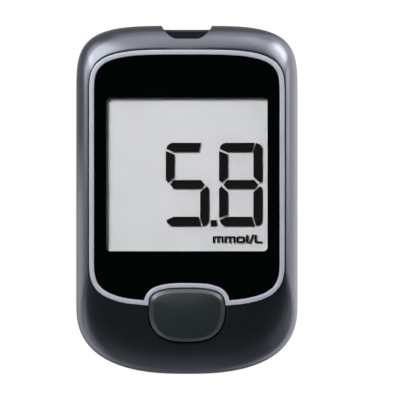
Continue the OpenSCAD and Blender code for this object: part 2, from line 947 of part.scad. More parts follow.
module carbon_pill() {
    color("#101012")
        post([0, key_mid], pill_r - snug, pill_z, pill_z + pill_t);
}

cap_r = cell_d / 2 - 1.1;
rim_r = cell_d / 2 - 0.5;
cap_h = 0.9;

module cell_can() {
    color("#c9ccd0")
        difference() {
            post([0, cell_y], cell_d / 2, cell_z, cell_z + cell_h - 0.3);
            post([0, cell_y], rim_r, cell_z + cell_h - cap_h, far);
        }
}

module cell_seal() {
    color("#3a3b40")
        difference() {
            post([0, cell_y], rim_r, cell_z + cell_h - cap_h, cell_z + cell_h - 0.25);
            post([0, cell_y], cap_r, 0, far);
        }
}

module cell_cap() {
    color("#d4d6d8")
        post([0, cell_y], cap_r, cell_z + cell_h - cap_h, cell_z + cell_h);
}

// Leaf that stands beside the cell and touches the side of its can
module positive_contact() {
    x = cell_d / 2 + snug;
    foot = x + 2.4;
    low = cell_z + 0.5;
    color("#cfc9ad")
        translate([0, cell_y + leaf_w / 2, 0])
            rotate([90, 0, 0])
                linear_extrude(height = leaf_w)
                    polygon([[x, low], [x + leaf_t, low], [x + leaf_t, board_z - leaf_t],
                             [foot, board_z - leaf_t], [foot, board_z], [x, board_z]]);
}

// Leaf that comes down through the bay's roof and bears on the cell's cap
module negative_contact() {
    root = negative_y;
    foot = root + 1.5;
    cell_top = cell_z + cell_h;
    bend = cell_top + 0.5;
    color("#cfc9ad")
        translate([-leaf_w / 2, 0, 0])
            rotate([90, 0, 90])
                linear_extrude(height = leaf_w)
                    polygon([[root - leaf_t, board_z], [root - leaf_t, bend],
                             [cell_y + 1, cell_top + leaf_t], [cell_y - 1, cell_top + leaf_t],
                             [cell_y - 1, cell_top], [cell_y + 1, cell_top],
                             [root, bend - 0.1], [root, board_z - leaf_t],
                             [foot, board_z - leaf_t], [foot, board_z]]);
}

// A pan-head screw with a cross recess, its head down and its point up
module screw(place, z, d, l, head_d, head_t) {
    cross = head_d * 0.5;
    translate([place[0], place[1], z])
        difference() {
            union() {
                cylinder(d = d, h = l);
                translate([0, 0, -head_t])
                    cylinder(d1 = head_d * 0.86, d2 = head_d, h = head_t);
            }
            for (turn = [0, 90])
                rotate(turn)
                    translate([0, 0, -head_t])
                        cube([cross, cross * 0.25, head_t], center = true);
        }
}

module case_screws() {
    color("#55585c")
        for (place = case_screw_places)
            screw(place, seat_z, case_screw_d, case_screw_l, 2 * head_r, head_h);
}

module board_screws() {
    color("#b8babd")
        for (place = board_screw_places)
            screw(place, board_z, board_screw_d, board_screw_l, board_screw_d + 1.2, board_head_h);
}

rear_housing();
front_housing();
battery_door();
rating_label();
trim_ring();
window_lens();
window_mask();
lens_adhesive();
lcd_gasket();
lcd_polariser();
lcd_front_glass();
lcd_seal();
lcd_segments();
lcd_unit_sign();
lcd_rear_glass();
lcd_reflector();
lcd_holder();
zebra_strip();
main_board();
microcontroller();
amplifier_chip();
memory_chip();
crystal();
buzzer();
chip_parts();
temperature_sensor();
key_contacts();
strip_port_guide();
strip_connector();
strip_contacts();
main_button();
key_pad();
carbon_pill();
cell_can();
cell_seal();
cell_cap();
positive_contact();
negative_contact();
case_screws();
board_screws();
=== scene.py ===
"""Looks of a pocket blood glucose meter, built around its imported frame.

The meter lies on its back: +Z points out of the display, +Y to the strip port and +X to the
reader's right. Sizes in the classes are in millimetres; meshes are made in metres.
"""

import logging
import math
from collections.abc import Callable, Sequence
from dataclasses import dataclass
from enum import Enum
from functools import cache

import bpy
import numpy as np
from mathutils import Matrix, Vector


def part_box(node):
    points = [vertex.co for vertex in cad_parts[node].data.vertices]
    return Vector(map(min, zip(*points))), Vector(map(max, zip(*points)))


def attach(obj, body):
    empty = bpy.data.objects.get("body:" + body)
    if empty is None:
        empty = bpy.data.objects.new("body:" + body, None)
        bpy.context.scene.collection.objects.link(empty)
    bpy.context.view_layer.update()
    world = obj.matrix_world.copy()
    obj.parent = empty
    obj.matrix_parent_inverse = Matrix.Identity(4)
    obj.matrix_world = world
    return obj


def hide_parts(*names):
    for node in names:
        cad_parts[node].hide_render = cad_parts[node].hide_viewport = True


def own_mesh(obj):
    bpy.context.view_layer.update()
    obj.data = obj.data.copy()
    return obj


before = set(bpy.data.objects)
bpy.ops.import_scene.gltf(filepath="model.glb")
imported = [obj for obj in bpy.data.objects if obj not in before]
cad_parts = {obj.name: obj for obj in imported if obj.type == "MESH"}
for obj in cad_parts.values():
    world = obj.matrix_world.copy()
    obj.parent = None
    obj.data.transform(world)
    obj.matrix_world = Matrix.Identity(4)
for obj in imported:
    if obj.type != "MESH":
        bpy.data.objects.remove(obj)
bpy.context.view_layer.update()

log = logging.getLogger("glucose_meter")

MM = 0.001
QUARTER = math.pi / 2
X, Y, Z = range(3)
DOUBLE = 1e-4  # millimetres within which two points are one
TOUCH = 0.01  # millimetres within which a place lies on a plane
LEVEL = 1e-12  # least rise of an edge that a ray is tested against

Points = np.ndarray
Test = Callable[[Points], np.ndarray]
Pair = tuple[float, float]
Triple = tuple[float, float, float]
Corners = tuple[Triple, Triple]
Socket = bpy.types.NodeSocket


class Body(Enum):
    """Bodies of the frame that pieces ride on."""

    CASE = "case"
    KEY = "key"
    DOOR = "door"


class Slot(Enum):
    """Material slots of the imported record."""

    SHELL_FRONT = "shell_front"
    SHELL_REAR = "shell_rear"
    TRIM = "trim"
    LENS = "lens"
    MASK = "mask"
    FILM = "film"
    GLASS = "display_glass"
    REFLECTOR = "reflector"
    PORT = "port"
    KEY = "key"
    SILICONE = "silicone"
    CELL_STEEL = "cell_steel"
    CELL_RING = "cell_ring"
    SCREW_STEEL = "screw_steel"
    LABEL = "label"


class Cut(Enum):
    """Ways in which one solid changes another."""

    AWAY = "DIFFERENCE"
    TOGETHER = "UNION"
    COMMON = "INTERSECT"


def span(node: str) -> tuple[Points, Points]:
    """Lowest and highest corner of a CAD node, in millimetres."""
    low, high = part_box(node)
    return np.array(low) / MM, np.array(high) / MM


# ---------------------------------------------------------------- outlines


@dataclass(frozen=True)
class EndCurve:
    """Superelliptic end of a loop: where it starts, how deep it is and how square."""

    start: float
    depth: float
    square: float


@dataclass(frozen=True)
class EndedLoop:
    """Closed loop with straight sides and a superelliptic curve at each end."""

    half: float
    top: EndCurve
    low: EndCurve

    def at(self, stations: Points) -> Points:
        """Points of the loop, counter-clockwise from the right side's upper end.

        Args:
            stations: 0 to 1 along the top curve, then the left side, the low curve
                and, from 3 to 4, the right side.

        Returns:
            One x, y row for each station.
        """
        u = np.asarray(stations, float)
        on_top, on_low = u <= 1, (u > 2) & (u <= 3)
        angle = math.pi * np.where(on_top, u, np.where(on_low, u - 1, 0))
        across, along = np.cos(angle), np.sin(angle)
        end = np.where(on_top, self.top.square, self.low.square)
        curve_x = self.half * np.sign(across) * np.abs(across) ** (2 / end)
        reach = np.sign(along) * np.abs(along) ** (2 / end)
        curve_y = np.where(
            on_top,
            self.top.start + self.top.depth * reach,
            self.low.start + self.low.depth * reach,
        )
        share = np.where(u <= 2, u - 1, 4 - u)
        side_y = self.top.start + (self.low.start - self.top.start) * share
        side_x = np.where(u <= 2, -self.half, self.half)
        curved = on_top | on_low
        return np.stack([np.where(curved, curve_x, side_x), np.where(curved, curve_y, side_y)], -1)

    def points(self, count: int) -> Points:
        """Evenly spaced points of the whole loop."""
        return self.at(spaced(self.at, 0, 4, count + 1)[:-1])


def spaced(path: Callable[[Points], Points], low: float, high: float, count: int,
           trials: int = 3001) -> Points:
    """Parameters at which a path has evenly spaced points.

    Args:
        path: gives the points for an array of parameters.
        low: first parameter.
        high: last parameter.
        count: how many parameters to return, both ends included.
        trials: how many points measure the path's length.

    Returns:
        The parameters, rising.
    """
    dense = np.linspace(low, high, trials)
    steps = np.linalg.norm(np.diff(path(dense), axis=0), axis=1)
    length = np.concatenate([[0], np.cumsum(steps)])
    return np.interp(np.linspace(0, length[-1], count), length, dense)


def along(path: Points, count: int) -> Points:
    """Evenly spaced points along an open path.

    Args:
        path: the path's corners.
        count: how many points to return, both ends included.

    Returns:
        One row for each point.
    """
    length = np.concatenate([[0], np.cumsum(np.linalg.norm(np.diff(path, axis=0), axis=1))])
    places = np.linspace(0, length[-1], count)
    return np.stack([np.interp(places, length, column) for column in path.T], 1)


def grown(loop: Points, distance: float) -> Points:
    """Moves a loop out by one distance all round.

    Args:
        loop: counter-clockwise corners.
        distance: how far it moves out, or in where it is negative.

    Returns:
        The moved corners.
    """
    ahead = np.roll(loop, -1, 0) - loop
    ahead /= np.linalg.norm(ahead, axis=1, keepdims=True)
    after = np.stack([ahead[:, 1], -ahead[:, 0]], 1)
    before = np.roll(after, 1, 0)
    return loop + distance * (before + after) / (1 + (before * after).sum(1, keepdims=True))


def rounded(w: float, l: float, r: float, y: float = 0, steps: int = 8) -> Points:
    """Rectangle with round corners about (0, y).

    Args:
        w: width along X.
        l: length along Y.
        r: radius of the corners.
        y: where its middle lies.
        steps: steps of each corner.

    Returns:
        Counter-clockwise corners.
    """
    turn = np.linspace(0, QUARTER, steps + 1)
    corners = []
    for i, (sx, sy) in enumerate(((1, 1), (-1, 1), (-1, -1), (1, -1))):
        angle = turn + i * QUARTER
        corners.append(np.stack([sx * (w / 2 - r) + r * np.cos(angle),
                                 y + sy * (l / 2 - r) + r * np.sin(angle)], 1))
    return np.concatenate(corners)


def outside(points: Points, loop: Points) -> Points:
    """Distance of points from a closed loop.

    Args:
        points: rows whose first two numbers are x and y.
        loop: the loop's corners.

    Returns:
        The distances, negative inside the loop.
    """
    a, b = loop[None, :, :2], np.roll(loop, -1, 0)[None, :, :2]
    p, d = points[:, None, :2], b - a
    t = np.clip(((p - a) * d).sum(-1) / (d * d).sum(-1), 0, 1)
    gap = np.linalg.norm(p - a - t[..., None] * d, axis=-1).min(1)
    rise = np.where(np.abs(d[..., 1]) < LEVEL, LEVEL, d[..., 1])
    beyond = p[..., 0] < a[..., 0] + (p[..., 1] - a[..., 1]) * d[..., 0] / rise
    crossed = ((a[..., 1] > p[..., 1]) != (b[..., 1] > p[..., 1])) & beyond
    return np.where(crossed.sum(1) % 2 == 1, -gap, gap)


def between(test: Test, low: Points, high: Points, halvings: int = 40) -> Points:
    """Where a test turns from true to false, by halving each range.

    Args:
        test: the test, true at low and false at high.
        low: where the ranges start.
        high: where they end.
        halvings: how often each is halved.

    Returns:
        The turning point of each range.
    """
    low, high = np.array(low, float), np.array(high, float)
    for _ in range(halvings):
        mid = (low + high) / 2
        true = test(mid)
        low, high = np.where(true, mid, low), np.where(true, high, mid)
    return (low + high) / 2


def at_level(loop: Points, z: float) -> Points:
    """The loop as points in space at one height."""
    return np.column_stack([loop, np.full(len(loop), z)])


def lying(points: Points, z: float) -> Points:
    """The same places laid at one height."""
    return at_level(points[:, :2], z)


def closed(rows: Sequence[Points]) -> Points:
    """Rings of points as the rows of a grid whose last column repeats the first."""
    grid = np.array(rows)
    return np.concatenate([grid, grid[:, :1]], 1)


# ---------------------------------------------------------------- tests that pick points


def anywhere(places: Points) -> np.ndarray:
    """Passes every place."""
    return np.ones(len(places), bool)


def on(axis: int, value: float) -> Test:
    """Test for places at one value along an axis."""
    return lambda places: np.abs(places[:, axis] - value) < TOUCH


def beside(half: float) -> Test:
    """Test for places a distance to the left or right of the middle."""
    return lambda places: np.abs(np.abs(places[:, X]) - half) < TOUCH


def round_axis(place: Pair, r: float) -> Test:
    """Test for places at a distance from an upright axis."""
    return lambda places: np.abs(np.hypot(*(places[:, :2] - place).T) - r) < 2 * TOUCH


def along_loop(loop: Points) -> Test:
    """Test for places on the edge of a loop, at any height."""
    return lambda places: np.abs(outside(places, loop)) < 2 * TOUCH


def both(*tests: Test) -> Test:
    """Test for places that pass every one of the tests."""
    return lambda places: np.all([test(places) for test in tests], axis=0)


def near(points: Points, reach: float = 0.004, batch: int = 500) -> Test:
    """Test for places that lie on one of some points.

    Args:
        points: the points.
        reach: how far off a place may be.
        batch: how many places are tested at a time.

    Returns:
        The test.
    """
    def found(part: Points) -> np.ndarray:
        """Tests one batch of places."""
        return np.linalg.norm(part[:, None] - points[None], axis=-1).min(1) < reach

    return lambda places: np.concatenate(
        [found(part) for part in np.array_split(places, max(1, len(places) // batch))])


# ---------------------------------------------------------------- workshop


class Piece:
    """One mesh on the bench, shaped with Blender's own operators.

    A piece that only cuts, adds to or trims another keeps the name "tool" and is used up.
    """

    def __init__(self, name: str) -> None:
        """Takes the object that an operator has just added."""
        self.obj = bpy.context.object
        self.obj.name = self.obj.data.name = name

    @staticmethod
    def clear() -> None:
        """Leaves edit mode and deselects everything."""
        if bpy.context.object and bpy.context.object.mode != "OBJECT":
            bpy.ops.object.mode_set(mode="OBJECT")
        bpy.ops.object.select_all(action="DESELECT")

    @classmethod
    def from_grid(cls, places: Points, name: str) -> "Piece":
        """Adds a grid and lays its points on given places.

        Args:
            places: rows by columns by 3, in millimetres.
            name: name of the piece.

        Returns:
            The piece, with points that meet merged.
        """
        cls.clear()
        rows, columns = places.shape[:2]
        bpy.ops.mesh.primitive_grid_add(x_subdivisions=columns - 1, y_subdivisions=rows - 1, size=1)
        return cls(name).lay(places).merge()

    @classmethod
    def prism(cls, loop: Points, low: float, high: float, name: str = "tool") -> "Piece":
        """Adds a filled circle, lays it on a loop and extrudes it.

        Args:
            loop: the outline's corners.
            low: height of its lower face.
            high: height of its upper face.
            name: name of the piece.

        Returns:
            The solid.
        """
        cls.clear()
        bpy.ops.mesh.primitive_circle_add(vertices=len(loop), radius=1, fill_type="NGON")
        piece = cls(name).lay(at_level(loop, low))
        piece.edit(faces=anywhere)
        piece.extrude(high - low)
        return piece.outward()

    @classmethod
    def loft(cls, rings: Sequence[Points], name: str = "tool") -> "Piece":
        """Lays a grid on matched rings, closes it round and fills both ends."""
        piece = cls.from_grid(closed(rings), name)
        return piece.fill(near(rings[0])).fill(near(rings[-1])).outward()

    @classmethod
    def spun(cls, place: Pair, profile: Sequence[Pair], around: int = 64, ring: bool = False,
             name: str = "tool") -> "Piece":
        """Spins a profile about an upright axis.

        Args:
            place: x and y of the axis.
            profile: radius and height of each corner, from axis to axis or all round a ring.
            around: number of steps.
            ring: whether the profile is closed and clear of the axis.
            name: name of the piece.

        Returns:
            The solid.
        """
        cls.clear()
        bpy.ops.mesh.primitive_circle_add(vertices=len(profile), radius=1, fill_type="NOTHING")
        r, z = np.array(profile, float).T
        corners = np.column_stack([place[0] + r, np.full(len(r), place[1]), z])
        piece = cls(name).lay(corners)
        if not ring:
            piece.edit(edges=near(corners[[0, -1]]))
            bpy.ops.mesh.delete(type="EDGE")
            piece.clear()
        piece.edit_all()
        bpy.ops.mesh.spin(steps=around, angle=2 * math.pi, axis=(0, 0, 1), use_auto_merge=True,
                          center=(place[0] * MM, place[1] * MM, 0))
        return piece.outward()

    @classmethod
    def box(cls, low: Triple, high: Triple, name: str = "tool") -> "Piece":
        """Adds a block.

        Args:
            low: its lowest corner.
            high: its highest corner.
            name: name of the piece.

        Returns:
            The solid.
        """
        cls.clear()
        a, b = np.array(low, float), np.array(high, float)
        bpy.ops.mesh.primitive_cube_add(size=1, location=(a + b) / 2 * MM, scale=(b - a) * MM)
        return cls(name).settle()

    @classmethod
    def drum(cls, place: Pair, r: float, low: float, high: float, around: int = 64) -> "Piece":
        """Adds an upright cylinder, as a tool.

        Args:
            place: x and y of its axis.
            r: its radius.
            low: height of its lower face.
            high: height of its upper face.
            around: number of sides.

        Returns:
            The solid.
        """
        cls.clear()
        bpy.ops.mesh.primitive_cone_add(
            vertices=around, radius1=r * MM, radius2=r * MM, depth=(high - low) * MM,
            location=(place[0] * MM, place[1] * MM, (low + high) / 2 * MM))
        return cls("tool").settle()

    def lay(self, places: Points) -> "Piece":
        """Lays the mesh's points on given places.

        Args:
            places: the places, in the mesh's own order and in millimetres.

        Returns:
            The piece.
        """
        self.obj.data.vertices.foreach_set("co", (places * MM).astype(np.float32).ravel())
        self.obj.data.update()
        return self

    def settle(self) -> "Piece":
        """Moves the object's place, turn and scale into its mesh.

        Returns:
            The piece.
        """
        self.activate()
        bpy.ops.object.transform_apply(location=True, rotation=True, scale=True)
        return self

    def activate(self) -> None:
        """Makes this the one selected and active object."""
        self.clear()
        self.obj.select_set(True)
        bpy.context.view_layer.objects.active = self.obj

    def places(self) -> Points:
        """Looks up where the mesh's points are.

        Returns:
            One row for each point, in millimetres.
        """
        flat = np.zeros(len(self.obj.data.vertices) * 3, np.float32)
        self.obj.data.vertices.foreach_get("co", flat)
        return flat.reshape(-1, 3).astype(float) / MM

    def height(self, x: float, y: float, missed: float) -> float:
        """Height at which a ray from above meets the surface, or another value if it misses."""
        hit, place, _, _ = self.obj.ray_cast((x * MM, y * MM, 1), (0, 0, -1))
        return place.z / MM if hit else missed

    def edit(self, edges: Test | None = None, faces: Test | None = None) -> int:
        """Enters edit mode with some edges or faces selected.

        Args:
            edges: picks edges of which both ends pass the test.
            faces: picks faces of which every corner passes the test.

        Returns:
            How many were picked.
        """
        self.activate()
        mesh = self.obj.data
        passed = (edges or faces)(self.places())
        for group in (mesh.vertices, mesh.edges, mesh.polygons):
            group.foreach_set("select", np.zeros(len(group), bool))
        if edges:
            ends = np.zeros(len(mesh.edges) * 2, np.int32)
            mesh.edges.foreach_get("vertices", ends)
            picked = passed[ends.reshape(-1, 2)].all(1)
            mesh.edges.foreach_set("select", picked)
        else:
            picked = np.array([passed[list(p.vertices)].all() for p in mesh.polygons])
            mesh.polygons.foreach_set("select", picked)
        bpy.context.tool_settings.mesh_select_mode = (False, bool(edges), bool(faces))
        bpy.ops.object.mode_set(mode="EDIT")
        return int(picked.sum())

    def edit_all(self) -> None:
        """Enters edit mode with everything selected."""
        self.activate()
        bpy.ops.object.mode_set(mode="EDIT")
        bpy.ops.mesh.select_all(action="SELECT")

    @staticmethod
    def extrude(rise: float) -> None:
        """Extrudes what is selected straight up."""
        bpy.ops.mesh.extrude_region_move(TRANSFORM_OT_translate={"value": (0, 0, rise * MM)})

    def merge(self) -> "Piece":
        """Merges points that lie together.

        Returns:
            The piece.
        """
        self.edit_all()
        bpy.ops.mesh.remove_doubles(threshold=DOUBLE * MM)
        self.clear()
        return self

    def outward(self) -> "Piece":
        """Merges doubles and turns every face outwards.

        Returns:
            The piece.
        """
        self.merge().edit_all()
        bpy.ops.mesh.normals_make_consistent(inside=False)
        self.clear()
        return self

    def wall(self, ring: Points, z: float) -> "Piece":
        """Extrudes a ring of edges straight to a height and fills its end.

        Args:
            ring: places of the ring's points.
            z: the height.

        Returns:
            The piece.
        """
        self.edit(edges=near(ring))
        self.extrude(0)
        bpy.ops.transform.resize(value=(1, 1, 0), center_override=(0, 0, z * MM))
        self.clear()
        return self.fill(near(lying(ring, z)))

    def fill(self, edges: Test) -> "Piece":
        """Fills a ring of edges with one face.

        Args:
            edges: picks the edges.

        Returns:
            The piece.
        """
        self.edit(edges=edges)
        bpy.ops.mesh.edge_face_add()
        self.clear()
        return self

    def bevel(self, edges: Test, width: float, segments: int = 2) -> "Piece":
        """Rounds edges.

        Args:
            edges: picks the edges, and may pick none.
            width: how far in the rounding starts.
            segments: its number of steps.

        Returns:
            The piece.
        """
        if self.edit(edges=edges):
            bpy.ops.mesh.bevel(offset=width * MM, offset_type="OFFSET", segments=segments,
                               affect="EDGES", clamp_overlap=True)
        self.clear()
        return self

    def apply(self, modifier: bpy.types.Modifier) -> "Piece":
        """Applies one modifier.

        Args:
            modifier: the modifier.

        Returns:
            The piece.
        """
        self.activate()
        bpy.ops.object.modifier_apply(modifier=modifier.name)
        return self

    def change(self, way: Cut, *tools: "Piece") -> "Piece":
        """Changes the piece with other solids, one after the other, and uses them up.

        Args:
            way: whether they are cut away, added, or only what is common is kept.
            tools: the other solids.

        Returns:
            The piece.
        """
        for tool in tools:
            made = self.obj.modifiers.new("cut", "BOOLEAN")
            made.operation, made.object, made.solver = way.value, tool.obj, "EXACT"
            self.apply(made)
            bpy.data.objects.remove(tool.obj)
        return self

    def cut(self, *tools: "Piece") -> "Piece":
        """Cuts away each of the tools."""
        return self.change(Cut.AWAY, *tools)

    def add(self, *tools: "Piece") -> "Piece":
        """Joins other solids on as one solid."""
        return self.change(Cut.TOGETHER, *tools)

    def join(self, *others: "Piece") -> "Piece":
        """Takes other meshes into this one as they are.

        Args:
            others: the pieces that they belong to.

        Returns:
            The piece.
        """
        self.activate()
        for other in others:
            other.obj.select_set(True)
        bpy.ops.object.join()
        return self

    def copy(self) -> "Piece":
        """Copies the piece with a mesh of its own.

        Returns:
            The copy.
        """
        self.activate()
        bpy.ops.object.duplicate(linked=False)
        return Piece("tool")

    def moved(self, x: float, y: float) -> "Piece":
        """Moves the mesh sideways.

        Args:
            x: distance along X.
            y: distance along Y.

        Returns:
            The piece.
        """
        self.edit_all()
        bpy.ops.transform.translate(value=(x * MM, y * MM, 0))
        self.clear()
        return self

    def smooth(self, angle: float = 35) -> "Piece":
        """Shades smooth, with each point's shading led by its largest faces.

        Args:
            angle: degrees between two faces up to which they are smooth.

        Returns:
            The piece.
        """
        self.activate()
        bpy.ops.object.shade_smooth_by_angle(angle=math.radians(angle))
        made = self.obj.modifiers.new("weights", "WEIGHTED_NORMAL")
        made.keep_sharp = True
        return self.apply(made)

    def finish(self, slot: Slot, finish: "Finish", node: str, body: Body = Body.CASE) -> "Piece":
        """Dresses the piece and hands it to the frame.

        Args:
            slot: the record's slot for its finish; not used.
            finish: the finish to build on it.
            node: CAD node that it stands for.
            body: body that it rides on.

        Returns:
            The piece.
        """
        self.clear()
        self.obj.data.materials.clear()
        self.obj.data.materials.append(finish.material())
        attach(self.obj, body.value)
        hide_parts(node)
        faces = len(self.obj.data.polygons)
        log.info("%s: %d faces, rides on %s", self.obj.name, faces, body.value)
        return self


# ---------------------------------------------------------------- finishes


Colour = Triple
FULL: Pair = (0, 1)
NOISE: Pair = (0.3, 0.7)  # where nearly all values of a noise lie
MIDDLE: Pair = (0.35, 0.65)


def shade(colour: Colour, factor: float) -> Colour:
    """The colour made darker or lighter by a factor."""
    return tuple(min(1, c * factor) for c in colour)


def about(value: float, less: float, more: float) -> Pair:
    """A range that reaches a little below and above a value."""
    return value - less, value + more


class Sketch:
    """A material's node tree, written a line at a time."""

    def __init__(self, name: str) -> None:
        """Starts a material with an output and object coordinates.

        Args:
            name: name of the material.
        """
        self.made = bpy.data.materials.new(name)
        self.made.use_nodes = True
        self.tree = self.made.node_tree
        self.tree.nodes.clear()
        self.output = self.tree.nodes.new("ShaderNodeOutputMaterial")
        self.place = self.tree.nodes.new("ShaderNodeTexCoord").outputs["Object"]

    def node(self, kind: str, inputs: dict | None = None, **settings: object) -> bpy.types.Node:
        """Adds a node.

        Args:
            kind: its type, without the ShaderNode in front.
            inputs: values, colours or sources for its inputs, by name or number.
            settings: values for its properties.

        Returns:
            The node.
        """
        made = self.tree.nodes.new("ShaderNode" + kind)
        for key, value in settings.items():
            setattr(made, key, value)
        for key, value in (inputs or {}).items():
            socket = made.inputs[key]
            if isinstance(value, Socket):
                self.tree.links.new(value, socket)
            else:
                socket.default_value = (*value, 1) if socket.type == "RGBA" else value
        return made

    def noise(self, size: float, detail: float = 2, stretch: Triple = (1, 1, 1)) -> Socket:
        """Adds a noise.

        Args:
            size: width of its features, in millimetres.
            detail: how many finer layers it has.
            stretch: how many times as long its features are along each axis.

        Returns:
            Its grey.
        """
        scale = [1 / (size * MM * s) for s in stretch]
        place = self.node("Mapping", {"Vector": self.place, "Scale": scale}).outputs["Vector"]
        made = self.node("TexNoise", {"Vector": place, "Scale": 1.0, "Detail": detail})
        return made.outputs["Fac"]

    def cells(self, size: float) -> Socket:
        """A random grey for each cell of a pattern whose cells are size millimetres wide."""
        cell = self.node("TexVoronoi", {"Vector": self.place, "Scale": 1 / (size * MM)})
        return self.node("SeparateColor", {"Color": cell.outputs["Color"]}).outputs["Red"]

    def span(self, source: Socket, to: Pair, of: Pair = NOISE) -> Socket:
        """A source's range, from one end of a pair to the other, laid on another range."""
        return self.node("MapRange", {"Value": source, "From Min": of[0], "From Max": of[1],
                                      "To Min": to[0], "To Max": to[1]}).outputs["Result"]

    def blend(self, share: Socket, a: Socket | Colour, b: Socket | Colour) -> Socket:
        """Mixes two colours; the share is the second one's."""
        return self.node("Mix", {"Factor": share, 6: a, 7: b}, data_type="RGBA").outputs[2]

    def mix(self, share: Socket, a: Socket, b: Socket) -> Socket:
        """Mixes two shaders; the share is the second one's."""
        return self.node("MixShader", {0: share, 1: a, 2: b}).outputs[0]

    def bump(self, height: Socket, depth: float) -> Socket:
        """Bump of a depth in millimetres."""
        return self.node("Bump", {"Height": height, "Distance": depth * MM}).outputs["Normal"]

    def principled(self, inputs: dict) -> bpy.types.Material:
        """Ends the tree in one Principled shader."""
        return self.close(self.node("BsdfPrincipled", inputs).outputs["BSDF"])

    def close(self, shader: Socket) -> bpy.types.Material:
        """Ends the tree in a shader."""
        self.tree.links.new(shader, self.output.inputs["Surface"])
        return self.made


@dataclass(frozen=True)
class Finish:
    """A finish, built once and shared."""

    name: str

    @cache
    def material(self) -> bpy.types.Material:
        """The finish's material, made when it is first asked for."""
        return self.build(Sketch(self.name))

    def build(self, sketch: Sketch) -> bpy.types.Material:
        """Makes the material in a new sketch."""
        raise NotImplementedError


@dataclass(frozen=True)
class MetallicPaint(Finish):
    """Gloss paint with fine metal flake under a clear coat."""

    dark: Colour
    light: Colour
    flake: float = 0.1
    roughness: float = 0.3
    metal: float = 1.0
    coat: float = 0.35
    coat_roughness: float = 0.22
    peel: float = 0.0003
    wave: float = 1.1
    drift: float = 9

    def build(self, sketch: Sketch) -> bpy.types.Material:
        """Flake sets the colour's grain, and a slow wave the coat's slight orange peel.

        Args:
            sketch: the new sketch.

        Returns:
            The material.
        """
        flake = sketch.span(sketch.cells(self.flake), (0.25, 0.75), FULL)
        drift = sketch.noise(self.drift, 3)
        return sketch.principled({
            "Base Color": sketch.blend(flake, self.dark, self.light),
            "Metallic": self.metal,
            "Roughness": sketch.span(drift, about(self.roughness, 0.03, 0.03)),
            "Normal": sketch.bump(sketch.noise(self.wave, 1), self.peel),
            "Coat Weight": self.coat, "Coat Roughness": self.coat_roughness})


@dataclass(frozen=True)
class MouldedPlastic(Finish):
    """Plastic with a fine moulded grain and a little handling wear."""

    colour: Colour
    roughness: float = 0.5
    grain: float = 0.25
    depth: float = 0.01
    spread: float = 0.12
    gloss: float = 0.5
    drift: float = 14

    def build(self, sketch: Sketch) -> bpy.types.Material:
        """Grain drives a bump and a small change of colour and roughness.

        Args:
            sketch: the new sketch.

        Returns:
            The material.
        """
        grain, drift = sketch.noise(self.grain, 3), sketch.noise(self.drift)
        tone = sketch.blend(sketch.span(drift, FULL), shade(self.colour, 1 - self.spread),
                            shade(self.colour, 1 + self.spread))
        fine = sketch.blend(sketch.span(grain, (0, self.spread), MIDDLE), tone,
                            shade(self.colour, 1.5))
        return sketch.principled({
            "Base Color": fine, "Roughness": sketch.span(grain, about(self.roughness, 0.05, 0.06)),
            "Normal": sketch.bump(grain, self.depth), "Specular IOR Level": self.gloss})


@dataclass(frozen=True)
class SpunMetal(Finish):
    """Metal with fine lines along one axis, and faint stains."""

    colour: Colour
    roughness: float = 0.3
    stretch: Triple = (30, 1, 1)
    line: float = 0.06
    stain: float = 5

    def build(self, sketch: Sketch) -> bpy.types.Material:
        """Stretched noise gives the lines their tone, roughness and depth.

        Args:
            sketch: the new sketch.

        Returns:
            The material.
        """
        lines, stain = sketch.noise(self.line, 2, self.stretch), sketch.noise(self.stain, 3)
        tone = sketch.blend(sketch.span(lines, FULL), shade(self.colour, 0.86), self.colour)
        tone = sketch.blend(sketch.span(stain, (0, 0.16), (0.45, 0.75)), tone,
                            shade(self.colour, 0.6))
        return sketch.principled({
            "Base Color": tone, "Metallic": 1.0, "Normal": sketch.bump(lines, 0.002),
            "Roughness": sketch.span(lines, about(self.roughness, 0.06, 0.08))})


@dataclass(frozen=True)
class ClearSheet(Finish):
    """Clear sheet that lets light through, with a little haze or a weak mirror on its front."""

    tint: Colour
    mirror: bool = True
    haze: float = 0.0
    haze_colour: Colour = (0.8, 0.8, 0.8)
    glare: float = 0.12
    ior: float = 1.49
    patch: float = 6
    speck: float = 0.2

    def build(self, sketch: Sketch) -> bpy.types.Material:
        """Transparent body, a faint haze in patches, and a Fresnel mirror.

        Args:
            sketch: the new sketch.

        Returns:
            The material.
        """
        patch = sketch.span(sketch.noise(self.patch), (0.6, 1.0))
        tint = sketch.blend(patch, shade(self.tint, 0.99), self.tint)
        shader = sketch.node("BsdfTransparent", {"Color": tint}).outputs[0]
        if self.haze:
            veil = sketch.node("BsdfDiffuse", {"Color": self.haze_colour}).outputs[0]
            share = sketch.span(sketch.noise(self.speck), (self.haze * 0.8, self.haze * 1.2))
            shader = sketch.mix(share, shader, veil)
        if self.mirror:
            gloss = sketch.node("BsdfGlossy", {"Color": (1, 1, 1), "Roughness": 0.03}).outputs[0]
            back = sketch.node("NewGeometry").outputs["Backfacing"]
            edge = sketch.node("Fresnel", {"IOR": self.ior}).outputs[0]
            share = sketch.node("Math", {0: edge, 1: sketch.span(back, (self.glare, 0), FULL)},
                                operation="MULTIPLY").outputs[0]
            shader = sketch.mix(share, shader, gloss)
        return sketch.close(shader)


